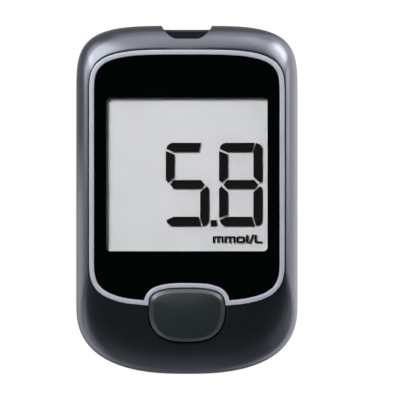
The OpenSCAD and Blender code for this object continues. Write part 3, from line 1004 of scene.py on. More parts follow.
@dataclass(frozen=True)
class CircuitBoard(Finish):
    """Solder mask over copper tracks on a glass-fibre board."""

    mask: Colour = (0.012, 0.1, 0.045)
    track: Colour = (0.03, 0.2, 0.09)
    fibre: Colour = (0.35, 0.33, 0.2)

    def build(self, sketch: Sketch) -> bpy.types.Material:
        """Offset blocks draw the tracks, which stand a little proud under the mask.

        Args:
            sketch: the new sketch.

        Returns:
            The material.
        """
        tracks = sketch.node("TexBrick", {
            "Vector": sketch.place, "Scale": 1 / (1.1 * MM), "Mortar Size": 0.11,
            "Mortar Smooth": 0.2, "Brick Width": 3.1, "Row Height": 0.62},
            offset=0.37, squash=1.4).outputs["Fac"]
        weave = sketch.noise(0.5, 2, (3, 1, 1))
        tone = sketch.blend(sketch.span(weave, (0, 0.1), (0.4, 0.7)),
                            sketch.blend(tracks, self.mask, self.track), self.fibre)
        return sketch.principled({
            "Base Color": tone, "Roughness": sketch.span(weave, (0.22, 0.34)),
            "Normal": sketch.bump(tracks, 0.03), "Coat Weight": 0.3})


@dataclass(frozen=True)
class Striped(Finish):
    """Rubber or ceramic in thin layers across one axis."""

    dark: Colour
    light: Colour
    pitch: float = 0.2
    share: float = 0.5
    roughness: float = 0.6

    def build(self, sketch: Sketch) -> bpy.types.Material:
        """A wave across X draws the layers.

        Args:
            sketch: the new sketch.

        Returns:
            The material.
        """
        wave = sketch.node("TexWave", {"Vector": sketch.place, "Scale": 0.314 / (self.pitch * MM),
                                       "Distortion": 0.0}, wave_type="BANDS", bands_direction="X")
        band = sketch.span(wave.outputs["Fac"], FULL, about(self.share, 0.1, 0.1))
        grain = sketch.noise(0.15, 2)
        return sketch.principled({
            "Base Color": sketch.blend(band, self.dark, self.light),
            "Normal": sketch.bump(grain, 0.008),
            "Roughness": sketch.span(grain, about(self.roughness, 0.05, 0.05), FULL)})


# Paints: name, dark and light flake, flake size, roughness, metal, coat
SHELL_PAINT = MetallicPaint("gunmetal_paint", (0.085, 0.09, 0.106), (0.126, 0.132, 0.154))
TRIM_PAINT = MetallicPaint("silver_trim_paint", (0.45, 0.49, 0.56), (0.53, 0.57, 0.64),
                           0.1, 0.4, 0.3, 0.2)

# Plastics: name, colour, roughness, grain size, grain depth, spread of tone, gloss
REAR_PLASTIC = MouldedPlastic("rear_shell_plastic", (0.028, 0.031, 0.038), 0.52, 0.22, 0.02)
DOOR_PLASTIC = MouldedPlastic("door_plastic", (0.03, 0.033, 0.04), 0.5, 0.22, 0.02)
MASK_PRINT = MouldedPlastic("mask_print", (0.0004, 0.0014, 0.0011), 0.12, 0.3, 0.0002, 0.05, 0.1)
SEGMENT_INK = MouldedPlastic("driven_segments", (0.006, 0.005, 0.005), 0.8, 0.2, 0.0005, 0.1, 0.0)
REFLECTOR_FOIL = MouldedPlastic("display_reflector", (0.79, 0.795, 0.81),
                                0.8, 0.35, 0.001, 0.02, 0.2)
PORT_PLASTIC = MouldedPlastic("port_plastic", (0.006, 0.008, 0.012), 0.35, 0.3, 0.003, 0.08, 0.3)
KEY_COATING = MouldedPlastic("key_coating", (0.0125, 0.0187, 0.0187), 0.3, 0.1, 0.003, 0.1, 0.72)
SILICONE = MouldedPlastic("pad_silicone", (0.3, 0.33, 0.34), 0.55, 0.5, 0.006, 0.08)
CHIP_PLASTIC = MouldedPlastic("chip_packages", (0.02, 0.02, 0.022), 0.55, 0.12, 0.01)
CELL_RING = MouldedPlastic("coin_ring_plastic", (0.06, 0.06, 0.07), 0.45, 0.3, 0.003)
LABEL_FOIL = MouldedPlastic("blank_label", (0.62, 0.63, 0.65), 0.4, 0.5, 0.002, 0.03)

# Clear sheets: name, tint, mirror, haze and its colour
LENS_CLEAR = ClearSheet("lens_acrylic", (0.99, 0.99, 0.99))
FILM_CLEAR = ClearSheet("polarising_film", (0.982, 0.982, 0.982), False, 0.004, (0.6, 0.6, 0.6))
GLASS_CLEAR = ClearSheet("clear_glass", (0.994, 0.994, 0.994), False)

# Metals: name, colour, roughness, how far the lines stretch along each axis, width of a line
GOLD = SpunMetal("gold_plating", (0.85, 0.62, 0.24), 0.25, (1, 20, 1))
CELL_STEEL = SpunMetal("coin_steel", (0.68, 0.69, 0.7), 0.28, (1, 1, 1), 0.4)
CONTACT_METAL = SpunMetal("contact_nickel", (0.72, 0.7, 0.6), 0.3, (1, 1, 20))
SCREW_STEEL = SpunMetal("screw_metal", (0.26, 0.27, 0.28), 0.35, (1, 1, 1), 0.3)

# Finishes of the CAD nodes that are shown as they are
KEPT_NODES: dict[str, Finish] = {
    "lens_adhesive": MouldedPlastic("adhesive_film", (0.4, 0.41, 0.39), 0.6, 0.4, 0.01),
    "lcd_gasket": MouldedPlastic("gasket_foam", (0.02, 0.02, 0.022), 0.85, 0.12, 0.05, 0.3),
    "lcd_seal": MouldedPlastic("glass_seal", (0.3, 0.32, 0.3), 0.5, 0.3, 0.005),
    "lcd_segments": SEGMENT_INK,
    "lcd_unit_sign": SEGMENT_INK,
    "lcd_holder": MouldedPlastic("display_holder", (0.7, 0.7, 0.67), 0.5, 0.3, 0.01, 0.05),
    "zebra_strip": Striped("zebra_rubber", (0.01, 0.01, 0.011), (0.3, 0.3, 0.31)),
    "main_board": CircuitBoard("solder_mask"),
    "microcontroller": CHIP_PLASTIC,
    "amplifier_chip": CHIP_PLASTIC,
    "memory_chip": CHIP_PLASTIC,
    "crystal": SpunMetal("crystal_can", (0.66, 0.67, 0.68), 0.25),
    "buzzer": CHIP_PLASTIC,
    "chip_parts": Striped("chip_parts_ceramic", (0.3, 0.2, 0.11), (0.62, 0.6, 0.57), 1.6, 0.6, 0.4),
    "temperature_sensor": CHIP_PLASTIC,
    "key_contacts": GOLD,
    "strip_connector": MouldedPlastic("connector_plastic", (0.72, 0.69, 0.58),
                                      0.45, 0.3, 0.008, 0.06),
    "strip_contacts": GOLD,
    "carbon_pill": MouldedPlastic("carbon_rubber", (0.012, 0.012, 0.012), 0.7, 0.1, 0.01, 0.2),
    "positive_contact": CONTACT_METAL,
    "negative_contact": CONTACT_METAL,
    "board_screws": SCREW_STEEL,
}


# ---------------------------------------------------------------- pieces


@dataclass(frozen=True)
class MeterPlan:
    """Outlines and levels that several pieces share."""

    case: EndedLoop = EndedLoop(23.5, EndCurve(21.5, 15.47, 4.1), EndCurve(-22.2, 14.8, 2.55))
    trim: EndedLoop = EndedLoop(20.7, EndCurve(21.5, 10.3, 3.9), EndCurve(-12.3, 10.2, 3.5))
    key: EndedLoop = EndedLoop(8.0, EndCurve(-22.575, 3.8, 3.0), EndCurve(-22.825, 7.2, 2.6))
    wall: float = 1.6
    split: float = 6.5
    shoulder_low: float = 9.0
    face: float = 14.2
    shelf_top: float = 12.77
    key_gap: float = 0.3
    trim_gap: float = 0.12
    trim_w: float = 1.0
    window_w: float = 34.2
    window_l: float = 32.5
    window_y: float = 5.35
    window_r: float = 0.9
    window_cut: Pair = (10, 16)
    notch_low: float = 34.15
    notch_half: float = 5.4
    notch_r: float = 3.1
    notch_lean: float = 1.35
    notch_end: float = 45
    port_face: float = 36.1
    screws: tuple[Pair, ...] = ((-17.4, -27), (-17.4, 28.5), (17.4, -27), (17.4, 28.5))
    board_screws: tuple[Pair, ...] = ((-17.3, -18.4), (-10.5, 28), (17.3, -18.4), (10.5, 28))

    def ring(self, inset: float, count: int) -> Points:
        """The case's outline drawn in."""
        return grown(self.case.points(count), -inset)

    def key_hole(self, room: float = 0.0) -> Points:
        """Outline of the key's hole, or one a little larger."""
        return grown(self.key.points(240), self.key_gap + room)

    def window(self, room: float = 0.0) -> Piece:
        """Prism that cuts the display's window, or one a little larger."""
        loop = rounded(self.window_w + room, self.window_l + room, self.window_r, self.window_y)
        return Piece.prism(loop, *self.window_cut)

    def notch(self, steps: int = 40) -> Points:
        """Outline of the notch, open at the top end and carried past it.

        Args:
            steps: number of points of each flank.

        Returns:
            Counter-clockwise corners.
        """
        turn = np.linspace(0, QUARTER, steps)
        across, up = np.sin(turn) ** self.notch_lean, 1 - np.cos(turn) ** self.notch_lean
        right = np.stack([self.notch_half - self.notch_r + self.notch_r * across,
                          self.notch_low + self.notch_r * up], 1)
        left = right[::-1] * [-1, 1]
        end = [[self.notch_half, self.notch_end], [-self.notch_half, self.notch_end]]
        return np.concatenate([left, right, end])


PLAN = MeterPlan()


@dataclass(frozen=True)
class Boss:
    """Tower of a shell that a screw goes into."""

    r: float
    foot: float
    bore_r: float
    bore_top: float

    def stand(self, place: Pair, top: float) -> Piece:
        """The tower at a place, up to a height, bored from below."""
        tower = Piece.drum(place, self.r, self.foot, top)
        return tower.cut(Piece.drum(place, self.bore_r, self.foot - 1, self.bore_top))


@dataclass
class FrontHousing:
    """Domed front shell: shoulder, pocket for the lens, hole for the key, notch for the port."""

    plan: MeterPlan = PLAN
    columns: int = 250
    notch_columns: int = 41
    notch_margin: float = 0.004
    notch_between: Pair = (0.2, 0.5)
    rows: int = 20
    arc: float = math.radians(68)
    notch_edge: float = 0.22
    rim_edge: float = 0.1
    seam_edge: float = 0.16
    window_room: float = 0.8
    port_room: Corners = ((-6, 33.8, 0), (6, 36.2, 9.55))
    hole_low: float = 5
    hole_edge: tuple[Pair, ...] = ((0, -0.14), (0.02, -0.07), (0.07, -0.02), (0.17, 0.03),
                                   (0.4, 0.3))
    hole_top: Pair = (0.4, 20)
    shelf: float = 1.0
    cavity_top: float = 15
    lip_h: float = 0.9
    collar_w: float = 1.0
    collar: float = 11.27
    port_walls: tuple[Pair, ...] = ((0.25, 9.6), (0.8, 10.35))
    case_boss: Boss = Boss(2.5, 5, 1.03, 10.4)
    board_boss: Boss = Boss(1.8, 8, 0.83, 10.8)

    def spoke(self, stations: Points, angles: Points) -> Points:
        """Points of the shoulder.

        Args:
            stations: where they lie round it.
            angles: how far they lie up the arc from its foot to its rim.

        Returns:
            One row for each point.
        """
        case, trim = self.plan.case.at(stations), self.plan.trim.at(stations)
        last = math.cos(self.arc)
        flat = trim + (case - trim) * ((np.cos(angles) - last) / (1 - last))[:, None]
        rise = (self.plan.face - self.plan.shoulder_low) / math.sin(self.arc)
        return np.column_stack([flat, self.plan.shoulder_low + rise * np.sin(angles)])

    def edges(self, stations: Points) -> tuple[Points, Points]:
        """Angles between which the shoulder is there.

        Args:
            stations: where they lie round it.

        Returns:
            Angles at which it leaves the notch, and at which it meets the pocket.
        """
        pocket = grown(self.plan.trim.points(400), self.plan.trim_gap)
        notch = self.plan.notch()
        zero, full = np.zeros(len(stations)), np.full(len(stations), self.arc)
        high = between(lambda a: outside(self.spoke(stations, a), pocket) > 0, zero, full)
        low = between(lambda a: outside(self.spoke(stations, a), notch) < 0, zero, full)
        return np.where(outside(self.spoke(stations, zero), notch) < 0, low, 0), high

    def stations(self) -> Points:
        """Stations of all columns, closer together round the notch.

        Returns:
            The stations, rising.
        """
        plan = self.plan
        notch, (near_end, middle) = plan.notch(), self.notch_between
        first = float(between(lambda u: outside(plan.case.at(u), notch) > 0,
                              [near_end], [middle])[0])
        base = spaced(lambda u: plan.case.at(u) + plan.trim.at(u), 0, 4, self.columns)
        clear = (base < first - self.notch_margin) | (base > 1 + self.notch_margin - first)
        at_notch = spaced(lambda u: self.spoke(u, self.edges(u)[0])[:, :2], first, 1 - first,
                          self.notch_columns, trials=201)
        return np.sort(np.concatenate([base[clear], at_notch]))

    def build(self) -> Piece:
        """Lays the shoulder as a grid, extrudes its walls, rounds its edges and hollows it.

        Returns:
            The shell.
        """
        plan = self.plan
        u = self.stations()
        low, high = self.edges(u)
        rows = [self.spoke(u, low + (high - low) * s) for s in np.linspace(0, 1, self.rows)]
        piece = Piece.from_grid(np.array(rows), "front_shell")
        key_tool = self.key_tool(piece)
        foot, rim, in_notch = rows[0], rows[-1], low > 0
        piece.wall(rim, plan.shelf_top).wall(foot, plan.split).outward()
        piece.bevel(near(foot[in_notch]), self.notch_edge)
        piece.bevel(near(rim), self.rim_edge)
        piece.bevel(near(lying(foot[~in_notch], plan.split)), self.seam_edge)
        piece.cut(self.cavity(), key_tool, plan.window(self.window_room),
                  Piece.box(*self.port_room))
        return piece.smooth().finish(Slot.SHELL_FRONT, SHELL_PAINT, "front_housing")

    def key_tool(self, shoulder: Piece) -> Piece:
        """Prism of the key's hole, flared so that it leaves a rounded edge.

        Args:
            shoulder: the surface that the flare follows.

        Returns:
            The solid to cut away.
        """
        hole = self.plan.key_hole()
        rings = [at_level(hole, self.hole_low)]
        for out, rise in self.hole_edge:
            ring = grown(hole, out)
            heights = [shoulder.height(x, y, self.plan.face) + rise for x, y in ring]
            rings.append(np.column_stack([ring, heights]))
        out, top = self.hole_top
        return Piece.loft(rings + [at_level(grown(hole, out), top)])

    def cavity(self) -> Piece:
        """The room inside the shell, less its bosses, the key's collar and the port's wall.

        Returns:
            The solid to cut away.
        """
        plan, top = self.plan, self.cavity_top
        u = spaced(plan.case.at, 0, 4, 201)[:-1]
        inner, rim = grown(plan.case.at(u), -plan.wall), plan.trim.at(u)
        rise = plan.shelf_top - self.shelf - plan.shoulder_low
        rings = [at_level(inner, plan.split - 1)]
        for t in np.linspace(0, QUARTER, 10):
            rings.append(at_level(rim + (inner - rim) * math.cos(t),
                                  plan.shoulder_low + rise * math.sin(t)))
        room = Piece.loft(rings)
        lip = plan.ring(plan.wall / 2, 200)
        room.add(Piece.prism(lip, plan.split - 1, plan.split + self.lip_h))
        room.cut(Piece.prism(plan.key_hole(self.collar_w), self.collar, top))
        for out, low in self.port_walls:
            room.cut(Piece.prism(grown(plan.notch(), out), low, top))
        for boss, places in ((self.case_boss, plan.screws), (self.board_boss, plan.board_screws)):
            room.cut(*(boss.stand(place, top) for place in places))
        return room


@dataclass
class LensSet:
    """Trim ring, clear lens and its printed mask, which share one arched outline."""

    plan: MeterPlan = PLAN
    trim_low: float = 12.77
    trim_high: float = 14.45
    trim_edge: float = 0.1
    lens_low: float = 13.0
    lens_high: float = 14.2
    lens_edge: float = 0.12
    ink: float = 0.08
    ink_gap: float = 0.01
    snug: float = 0.05
    arch_w: float = 0.78
    arch_lap: float = 0.13

    def outline(self, inset: float, arch_gap: float, side: int = 230, arch: int = 44) -> Points:
        """The trim's outline drawn in, with an arch over the key.

        Args:
            inset: how far it is drawn in from the trim's own outline.
            arch_gap: distance of the arch from the key's hole.
            side: number of points round the sides and the top.
            arch: number of points over the key.

        Returns:
            A counter-clockwise loop that starts at the arch's right foot.
        """
        loop = grown(self.plan.trim.points(1600), -inset)
        hole = self.plan.key_hole(arch_gap)
        gap = outside(loop, hole)
        start = int(np.argmax((gap > 0) & (np.roll(gap, 1) <= 0)))
        loop, gap = np.roll(loop, -start, 0), np.roll(gap, -start)
        count = int((gap > 0).sum())
        first = loop[0] + (loop[-1] - loop[0]) * gap[0] / (gap[0] - gap[-1])
        share = gap[count - 1] / (gap[count - 1] - gap[count])
        last = loop[count - 1] + (loop[count] - loop[count - 1]) * share
        over = hole[outside(hole, loop) < 0]
        over = over[np.argsort(over[:, 0])]
        sides = along(np.concatenate([[first], loop[:count], [last]]), side)
        arched = along(np.concatenate([[last], over, [first]]), arch)
        return np.concatenate([sides[:-1], arched[:-1]])

    def within(self, gaps: int) -> Points:
        """The outline inside the trim, a number of snug gaps off it."""
        room = gaps * self.snug
        return self.outline(self.plan.trim_w + room, self.arch_w + room)

    def trim(self) -> Piece:
        """Flat ring between two matched outlines, raised and rounded along both top edges.

        Returns:
            The ring.
        """
        outer, inner = self.outline(0, -self.arch_lap), self.within(0)
        flat = closed([at_level(outer, self.trim_low), at_level(inner, self.trim_low)])
        ring = Piece.from_grid(flat, "trim_band")
        ring.edit_all()
        ring.extrude(self.trim_high - self.trim_low)
        top = lying(np.concatenate([outer, inner]), self.trim_high)
        ring.outward().bevel(near(top), self.trim_edge, 3)
        return ring.smooth(50).finish(Slot.TRIM, TRIM_PAINT, "trim_ring")

    def lens(self) -> Piece:
        """Clear plate with its top edge eased.

        Returns:
            The plate.
        """
        loop = self.within(1)
        plate = Piece.prism(loop, self.lens_low, self.lens_high, "lens")
        plate.bevel(near(lying(loop, self.lens_high)), self.lens_edge)
        return plate.smooth().finish(Slot.LENS, LENS_CLEAR, "window_lens")

    def mask(self) -> Piece:
        """Ink on the back of the lens, open at the window.

        Returns:
            The film of ink.
        """
        low, high = self.lens_low - self.ink, self.lens_low - self.ink_gap
        plate = Piece.prism(self.within(2), low, high, "lens_mask")
        plate.cut(self.plan.window())
        return plate.finish(Slot.MASK, MASK_PRINT, "window_mask")

    def build(self) -> None:
        """Makes the three pieces."""
        self.trim()
        self.lens()
        self.mask()


@dataclass
class DisplayStack:
    """Films and glasses of the display, with ground edges and a hair of air between them."""

    air: float = 0.01
    corner: float = 0.3
    film_edge: float = 0.03
    glass_edge: float = 0.08

    def plate(self, name: str, node: str, slot: Slot, finish: Finish, edge: float) -> Piece:
        """Plate of a CAD node's size with eased edges.

        Args:
            name: name of the piece.
            node: the CAD node.
            slot: the record's slot for its finish.
            finish: the finish to build on it.
            edge: how wide its edges are eased.

        Returns:
            The plate.
        """
        low, high = span(node)
        w, l, _ = high - low
        loop = rounded(w, l, self.corner, (low[1] + high[1]) / 2)
        plate = Piece.prism(loop, low[2] + self.air, high[2] - self.air, name)
        plate.bevel(anywhere, edge, 1)
        return plate.smooth().finish(slot, finish, node)

    def build(self) -> None:
        """Makes the film, both glasses and the reflector."""
        film, glass = self.film_edge, self.glass_edge
        self.plate("polariser", "lcd_polariser", Slot.FILM, FILM_CLEAR, film)
        self.plate("front_glass", "lcd_front_glass", Slot.GLASS, GLASS_CLEAR, glass)
        self.plate("rear_glass", "lcd_rear_glass", Slot.GLASS, GLASS_CLEAR, glass)
        self.plate("reflector", "lcd_reflector", Slot.REFLECTOR, REFLECTOR_FOIL, film)


@dataclass
class MainKey:
    """Hard key cap with a flange and stem, and the silicone pad that springs it."""

    plan: MeterPlan = PLAN
    middle: float = -24.4
    edge: tuple[Pair, ...] = (
        (0, 11.3), (-0.08, 13.6), (-0.08, 14.04), (-0.06, 14.11), (0, 14.17), (0.3, 14.34),
        (0.6, 14.52), (0.84, 14.66), (0.92, 14.7), (1.02, 14.73))
    crown: tuple[float, ...] = (1, 0.95, 0.87, 0.76, 0.65, 0.52, 0.4, 0.28, 0.16, 0.07, 0)
    crown_in: float = 1.1
    crown_low: float = 14.75
    low_edge: float = 0.62
    top: float = 15.396
    flange: float = 0.8
    flange_low: float = 10.47
    flange_high: float = 11.17
    flange_edge: float = 0.12
    stem_r: float = 3.0
    stem_low: float = 10.1
    stem_edge: float = 0.15
    stem_narrow: float = 0.95
    pad_low: float = 8.0
    pad_h: float = 0.5
    pad_size: Triple = (18.4, 12.8, 1.5)
    pad_edge: float = 0.12
    dome: tuple[Pair, ...] = ((0, 8.2), (4.35, 8.2), (4.3, 8.52), (4.05, 8.65), (3.15, 9.02),
                              (3.0, 9.2), (3.0, 9.9), (2.9, 10.0), (0, 10.0))
    dome_room: tuple[Pair, ...] = ((0, 7.0), (3.85, 7.0), (3.85, 8.5), (2.65, 9.0), (1.98, 9.0),
                                   (1.98, 9.46), (0, 9.46))
    keep: float = 0.55

    def cap(self) -> Piece:
        """Lofts the key from its stem to the pole of its crown.

        Returns:
            The cap.
        """
        loop = self.plan.key.points(120)
        centre = np.array([0, self.middle])
        pole = np.tile(centre, (len(loop), 1))
        angle = np.arctan2(*(loop - centre).T[::-1])
        stem = centre + self.stem_r * np.stack([np.cos(angle), np.sin(angle)], 1)
        rows = [at_level(pole + (stem - pole) * share, self.stem_low)
                for share in (0, self.stem_narrow)]
        rows += [at_level(stem, self.stem_low + self.stem_edge), at_level(stem, self.flange_low)]
        low, high, ease = self.flange_low, self.flange_high, self.flange_edge
        rows += [at_level(grown(loop, self.flange + out), z)
                 for out, z in ((-ease, low), (0, low + ease), (0, high - ease), (-ease, high))]
        rows.append(at_level(loop, high))
        foot = loop[:, 1].min()
        narrow = np.clip((loop[:, 1:] - foot) / (self.middle - foot), 0, 1)
        narrow = self.low_edge + (1 - self.low_edge) * narrow
        rows += [at_level(grown(loop, -inset * narrow), z) for inset, z in self.edge]
        rim, rise = grown(loop, -self.crown_in * narrow), self.top - self.crown_low
        rows += [at_level(centre + (rim - centre) * share, self.crown_low + rise * (1 - share ** 2))
                 for share in self.crown]
        cap = Piece.from_grid(closed(rows), "key_cap").outward()
        return cap.smooth(40).finish(Slot.KEY, KEY_COATING, "main_button", Body.KEY)

    def pad(self) -> Piece:
        """Thin silicone sheet with a spun dome under the key.

        Returns:
            The pad.
        """
        w, l, r = self.pad_size
        base = self.pad_low + self.pad_h
        sheet = Piece.prism(rounded(w, l, r, self.middle), self.pad_low, base, "dome_pad")
        sheet.bevel(on(Z, base), self.pad_edge)
        axis = (0, self.middle)
        sheet.add(Piece.spun(axis, self.dome)).cut(Piece.spun(axis, self.dome_room))
        pad = sheet.smooth(40).finish(Slot.SILICONE, SILICONE, "key_pad")
        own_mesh(pad.obj)
        return pad

    def build(self) -> None:
        """Makes both pieces."""
        self.cap()
        self.pad()


@dataclass
class RearCase:
    """Rear housing with its battery bay, the door that slides off it, and its label."""

    plan: MeterPlan = PLAN
    back_r: float = 2.5
    lip: float = 0.8
    lip_in: float = 0.9
    lip_low: float = 2
    seam_edge: float = 0.16
    edge: float = 0.12
    boss: Triple = (2.5, 1.5, 6.5)
    bore: Triple = (1.15, -1, 9)
    counterbore: Triple = (2.15, -2, 2.0)
    port_block: Corners = ((-6.9, 33.9, 1.5), (6.9, 36.2, 6.5))
    port_room: Corners = ((-6.1, 32.9, 6.5), (6.1, 60, 12))
    notch_cut: Pair = (-1, 12)
    notch_room: Triple = (9, -3, 20)
    cell: Pair = (0, -14)
    bay: Corners = ((-14.6, -33, 1.5), (14.6, -2, 6.7))
    bay_room: Corners = ((-13.3, -34, 0), (13.3, -3.2, 5.9))
    cell_ring: Triple = (11.3, 2.1, 6.0)
    cell_room: Triple = (10.3, 0, 7)
    ring_gaps: tuple[Corners, ...] = (((0, -17, 0), (20, -11, 5.9)), ((-4, -40, 0), (4, -14, 5.9)))
    contact_slots: tuple[Corners, ...] = (((9.75, -16.3, 3), (10.55, -11.7, 9)),
                                          ((-2.3, -5.0, 5), (2.3, -4.2, 9)))
    door_half: float = 13.0
    door_top: float = -3.0
    door_end: float = -33.2
    door_end_h: float = 5.0
    door_lap: float = 0.02
    far: float = 60
    tongue: float = 0.8
    tongue_in: float = 0.5
    tongue_slip: float = 0.1
    slip: float = 0.15
    grips: int = 5
    grip_first: Triple = (6, 0.7, -25.65)
    grip_r: float = 0.34
    grip_depth: float = 0.4
    grip_edge: float = 0.08
    grip_step: Pair = (0.6, 1.6)
    label: tuple[float, ...] = (28, 20, 1.2, 13.5)
    label_room: tuple[float, ...] = (28.4, 20.4, 1.4, 13.5)
    label_low: float = 0.08
    label_depth: float = 0.2
    label_edge: float = 0.04

    def block(self, inset: float, top: float, name: str = "tool") -> Piece:
        """Solid of the back's outline with its rounded lower edge.

        Args:
            inset: how far it is drawn in all round.
            top: height of its upper face.
            name: name of the piece.

        Returns:
            The solid.
        """
        loop = self.plan.case.points(260)
        r = self.back_r - inset
        rings = []
        for t in np.linspace(0, QUARTER, 11):
            drawn_in, up = inset + r * (1 - math.sin(t)), inset + r * (1 - math.cos(t))
            rings.append(at_level(grown(loop, -drawn_in), up))
        return Piece.loft(rings + [at_level(grown(loop, -inset), top)], name)

    def inside(self) -> Piece:
        """Solid of the room inside the back's wall."""
        return self.block(self.plan.wall, self.plan.split + 2)

    def door_room(self, slip: float, tongue_slip: float) -> Piece:
        """The space of the door.

        Args:
            slip: room round its panel.
            tongue_slip: room under its tongues.

        Returns:
            The solid.
        """
        half, wall, far = self.door_half + slip, self.plan.wall, self.far
        wide, step, end_h = half + self.tongue, wall - self.tongue, self.door_end_h + slip
        top = self.door_top + slip
        room = Piece.box((-half, -far, -1), (half, top, wall + slip + self.door_lap))
        return room.add(
            Piece.box((-half, -far - 1, -2), (half, self.door_end + slip, end_h)),
            Piece.box((-wide, -far - 2, step - tongue_slip),
                      (wide, top - self.tongue_in, wall + slip + self.door_lap / 2)))

    def cell_bay(self) -> Piece:
        """Walls and roof round the cell, with the ring that holds it.

        Returns:
            The solid to add.
        """
        bay = Piece.box(*self.bay).cut(Piece.box(*self.bay_room))
        ring = Piece.drum(self.cell, *self.cell_ring, around=96)
        ring.cut(Piece.drum(self.cell, *self.cell_room, around=96),
                 *(Piece.box(*gap) for gap in self.ring_gaps))
        return bay.add(ring)

    def housing(self) -> Piece:
        """Shell, lip, bosses and bay, less the door's room and every recess.

        Returns:
            The housing.
        """
        plan = self.plan
        shell = self.block(0, plan.split, "rear_shell")
        lip = plan.ring(self.lip_in, 260)
        shell.add(Piece.prism(lip, plan.split - self.lip_low, plan.split + self.lip))
        shell.cut(self.inside()).add(Piece.box(*self.port_block), self.cell_bay())
        shell.add(*(Piece.drum(place, *self.boss) for place in plan.screws))
        shell.cut(self.door_room(self.slip, self.tongue_slip))
        for place in plan.screws:
            shell.cut(Piece.drum(place, *self.bore), Piece.drum(place, *self.counterbore))
        half, low, high = self.notch_room
        notch = Piece.prism(plan.notch(), *self.notch_cut)
        notch.change(Cut.COMMON, Piece.box((-half, plan.port_face, low), (half, self.far, high)))
        shell.cut(notch, Piece.box(*self.port_room),
                  Piece.prism(rounded(*self.label_room), -1, self.label_depth),
                  *(Piece.box(*slot) for slot in self.contact_slots))
        self.ease(shell)
        return shell.smooth().finish(Slot.SHELL_REAR, REAR_PLASTIC, "rear_housing")

    def ease(self, shell: Piece) -> None:
        """Rounds the seam, the recesses and the door's opening.

        Args:
            shell: the housing.
        """
        plan, back = self.plan, on(Z, 0)
        shell.bevel(both(on(Z, plan.split), along_loop(plan.ring(0, 900))), self.seam_edge)
        shell.bevel(near(lying(rounded(*self.label_room), 0)), self.edge)
        for place in plan.screws:
            shell.bevel(both(back, round_axis(place, self.counterbore[0])), self.edge)
        half, top = self.door_half + self.slip, self.door_top + self.slip
        opening = both(back, lambda p: np.abs(p[:, X]) < half + TOUCH)
        shell.bevel(both(opening, beside(half), lambda p: p[:, Y] < top + TOUCH), self.edge)
        shell.bevel(both(opening, on(Y, top)), self.edge)

    def door(self) -> Piece:
        """The part of the shell that the door takes, with tongues and grooves for the thumb.

        Returns:
            The door.
        """
        door = self.block(0, self.plan.split, "door_panel")
        door.cut(self.inside()).change(Cut.COMMON, self.door_room(0, 0))
        for side in (beside(self.door_half), on(Y, self.door_top)):
            door.bevel(both(on(Z, 0), side), self.edge)
        half, deep, y = self.grip_first
        for i in range(self.grips):
            narrower, lower = (step * i for step in self.grip_step)
            loop = rounded(2 * (half - narrower), deep, self.grip_r, y - lower, 5)
            door.cut(Piece.prism(loop, -1, self.grip_depth))
            door.bevel(near(lying(loop, 0)), self.grip_edge, 1)
        return door.smooth().finish(Slot.SHELL_REAR, DOOR_PLASTIC, "battery_door", Body.DOOR)

    def blank_label(self) -> Piece:
        """Bare label in its recess.

        Returns:
            The label.
        """
        loop = rounded(*self.label)
        label = Piece.prism(loop, self.label_low, self.label_depth, "blank_label")
        label.bevel(near(lying(loop, self.label_low)), self.label_edge, 1)
        return label.smooth().finish(Slot.LABEL, LABEL_FOIL, "rating_label")

    def build(self) -> None:
        """Makes the housing, the door and the label."""
        self.housing()
        self.door()
        self.blank_label()


@dataclass
class StripPort:
    """Guide for the test strip, with a chamfer and a flared slot."""

    low: Triple = (-5.9, 33.9, 6.5)
    high: Triple = (5.9, 36.1, 9.5)
    chamfer: float = 0.4
    edge: float = 0.08
    slot_half: float = 3.4
    slot_back: float = 30
    slot_low: float = 8.45
    slot_high: float = 9.35
    flare: float = 0.5
    flare_times: float = 3.2
    flare_down: float = 0.15

    def slot(self, back: float) -> Piece:
        """The slot from a place to past the guide's front."""
        half, end = self.slot_half, self.high[Y] + 1
        return Piece.box((-half, back, self.slot_low), (half, end, self.slot_high))

    def build(self) -> Piece:
        """Chamfers the block, cuts the slot and flares its mouth.

        Returns:
            The guide.
        """
        guide = Piece.box(self.low, self.high, "port_guide")
        half, front, top = self.high
        guide.bevel(both(on(Y, front), on(Z, top)), self.chamfer, 1)
        ahead = front - self.chamfer - TOUCH
        guide.bevel(both(beside(half), lambda p: p[:, Y] > ahead), self.edge)
        slot, mouth = self.slot(self.slot_back), self.slot(front - 2 * self.flare)
        mouth.edit(faces=on(Y, front + 1))
        bpy.ops.transform.resize(value=(1, 1, self.flare_times),
                                 center_override=(0, 0, (self.slot_high - self.flare_down) * MM))
        mouth.clear()
        guide.cut(slot, mouth)
        return guide.smooth().finish(Slot.PORT, PORT_PLASTIC, "strip_port_guide")


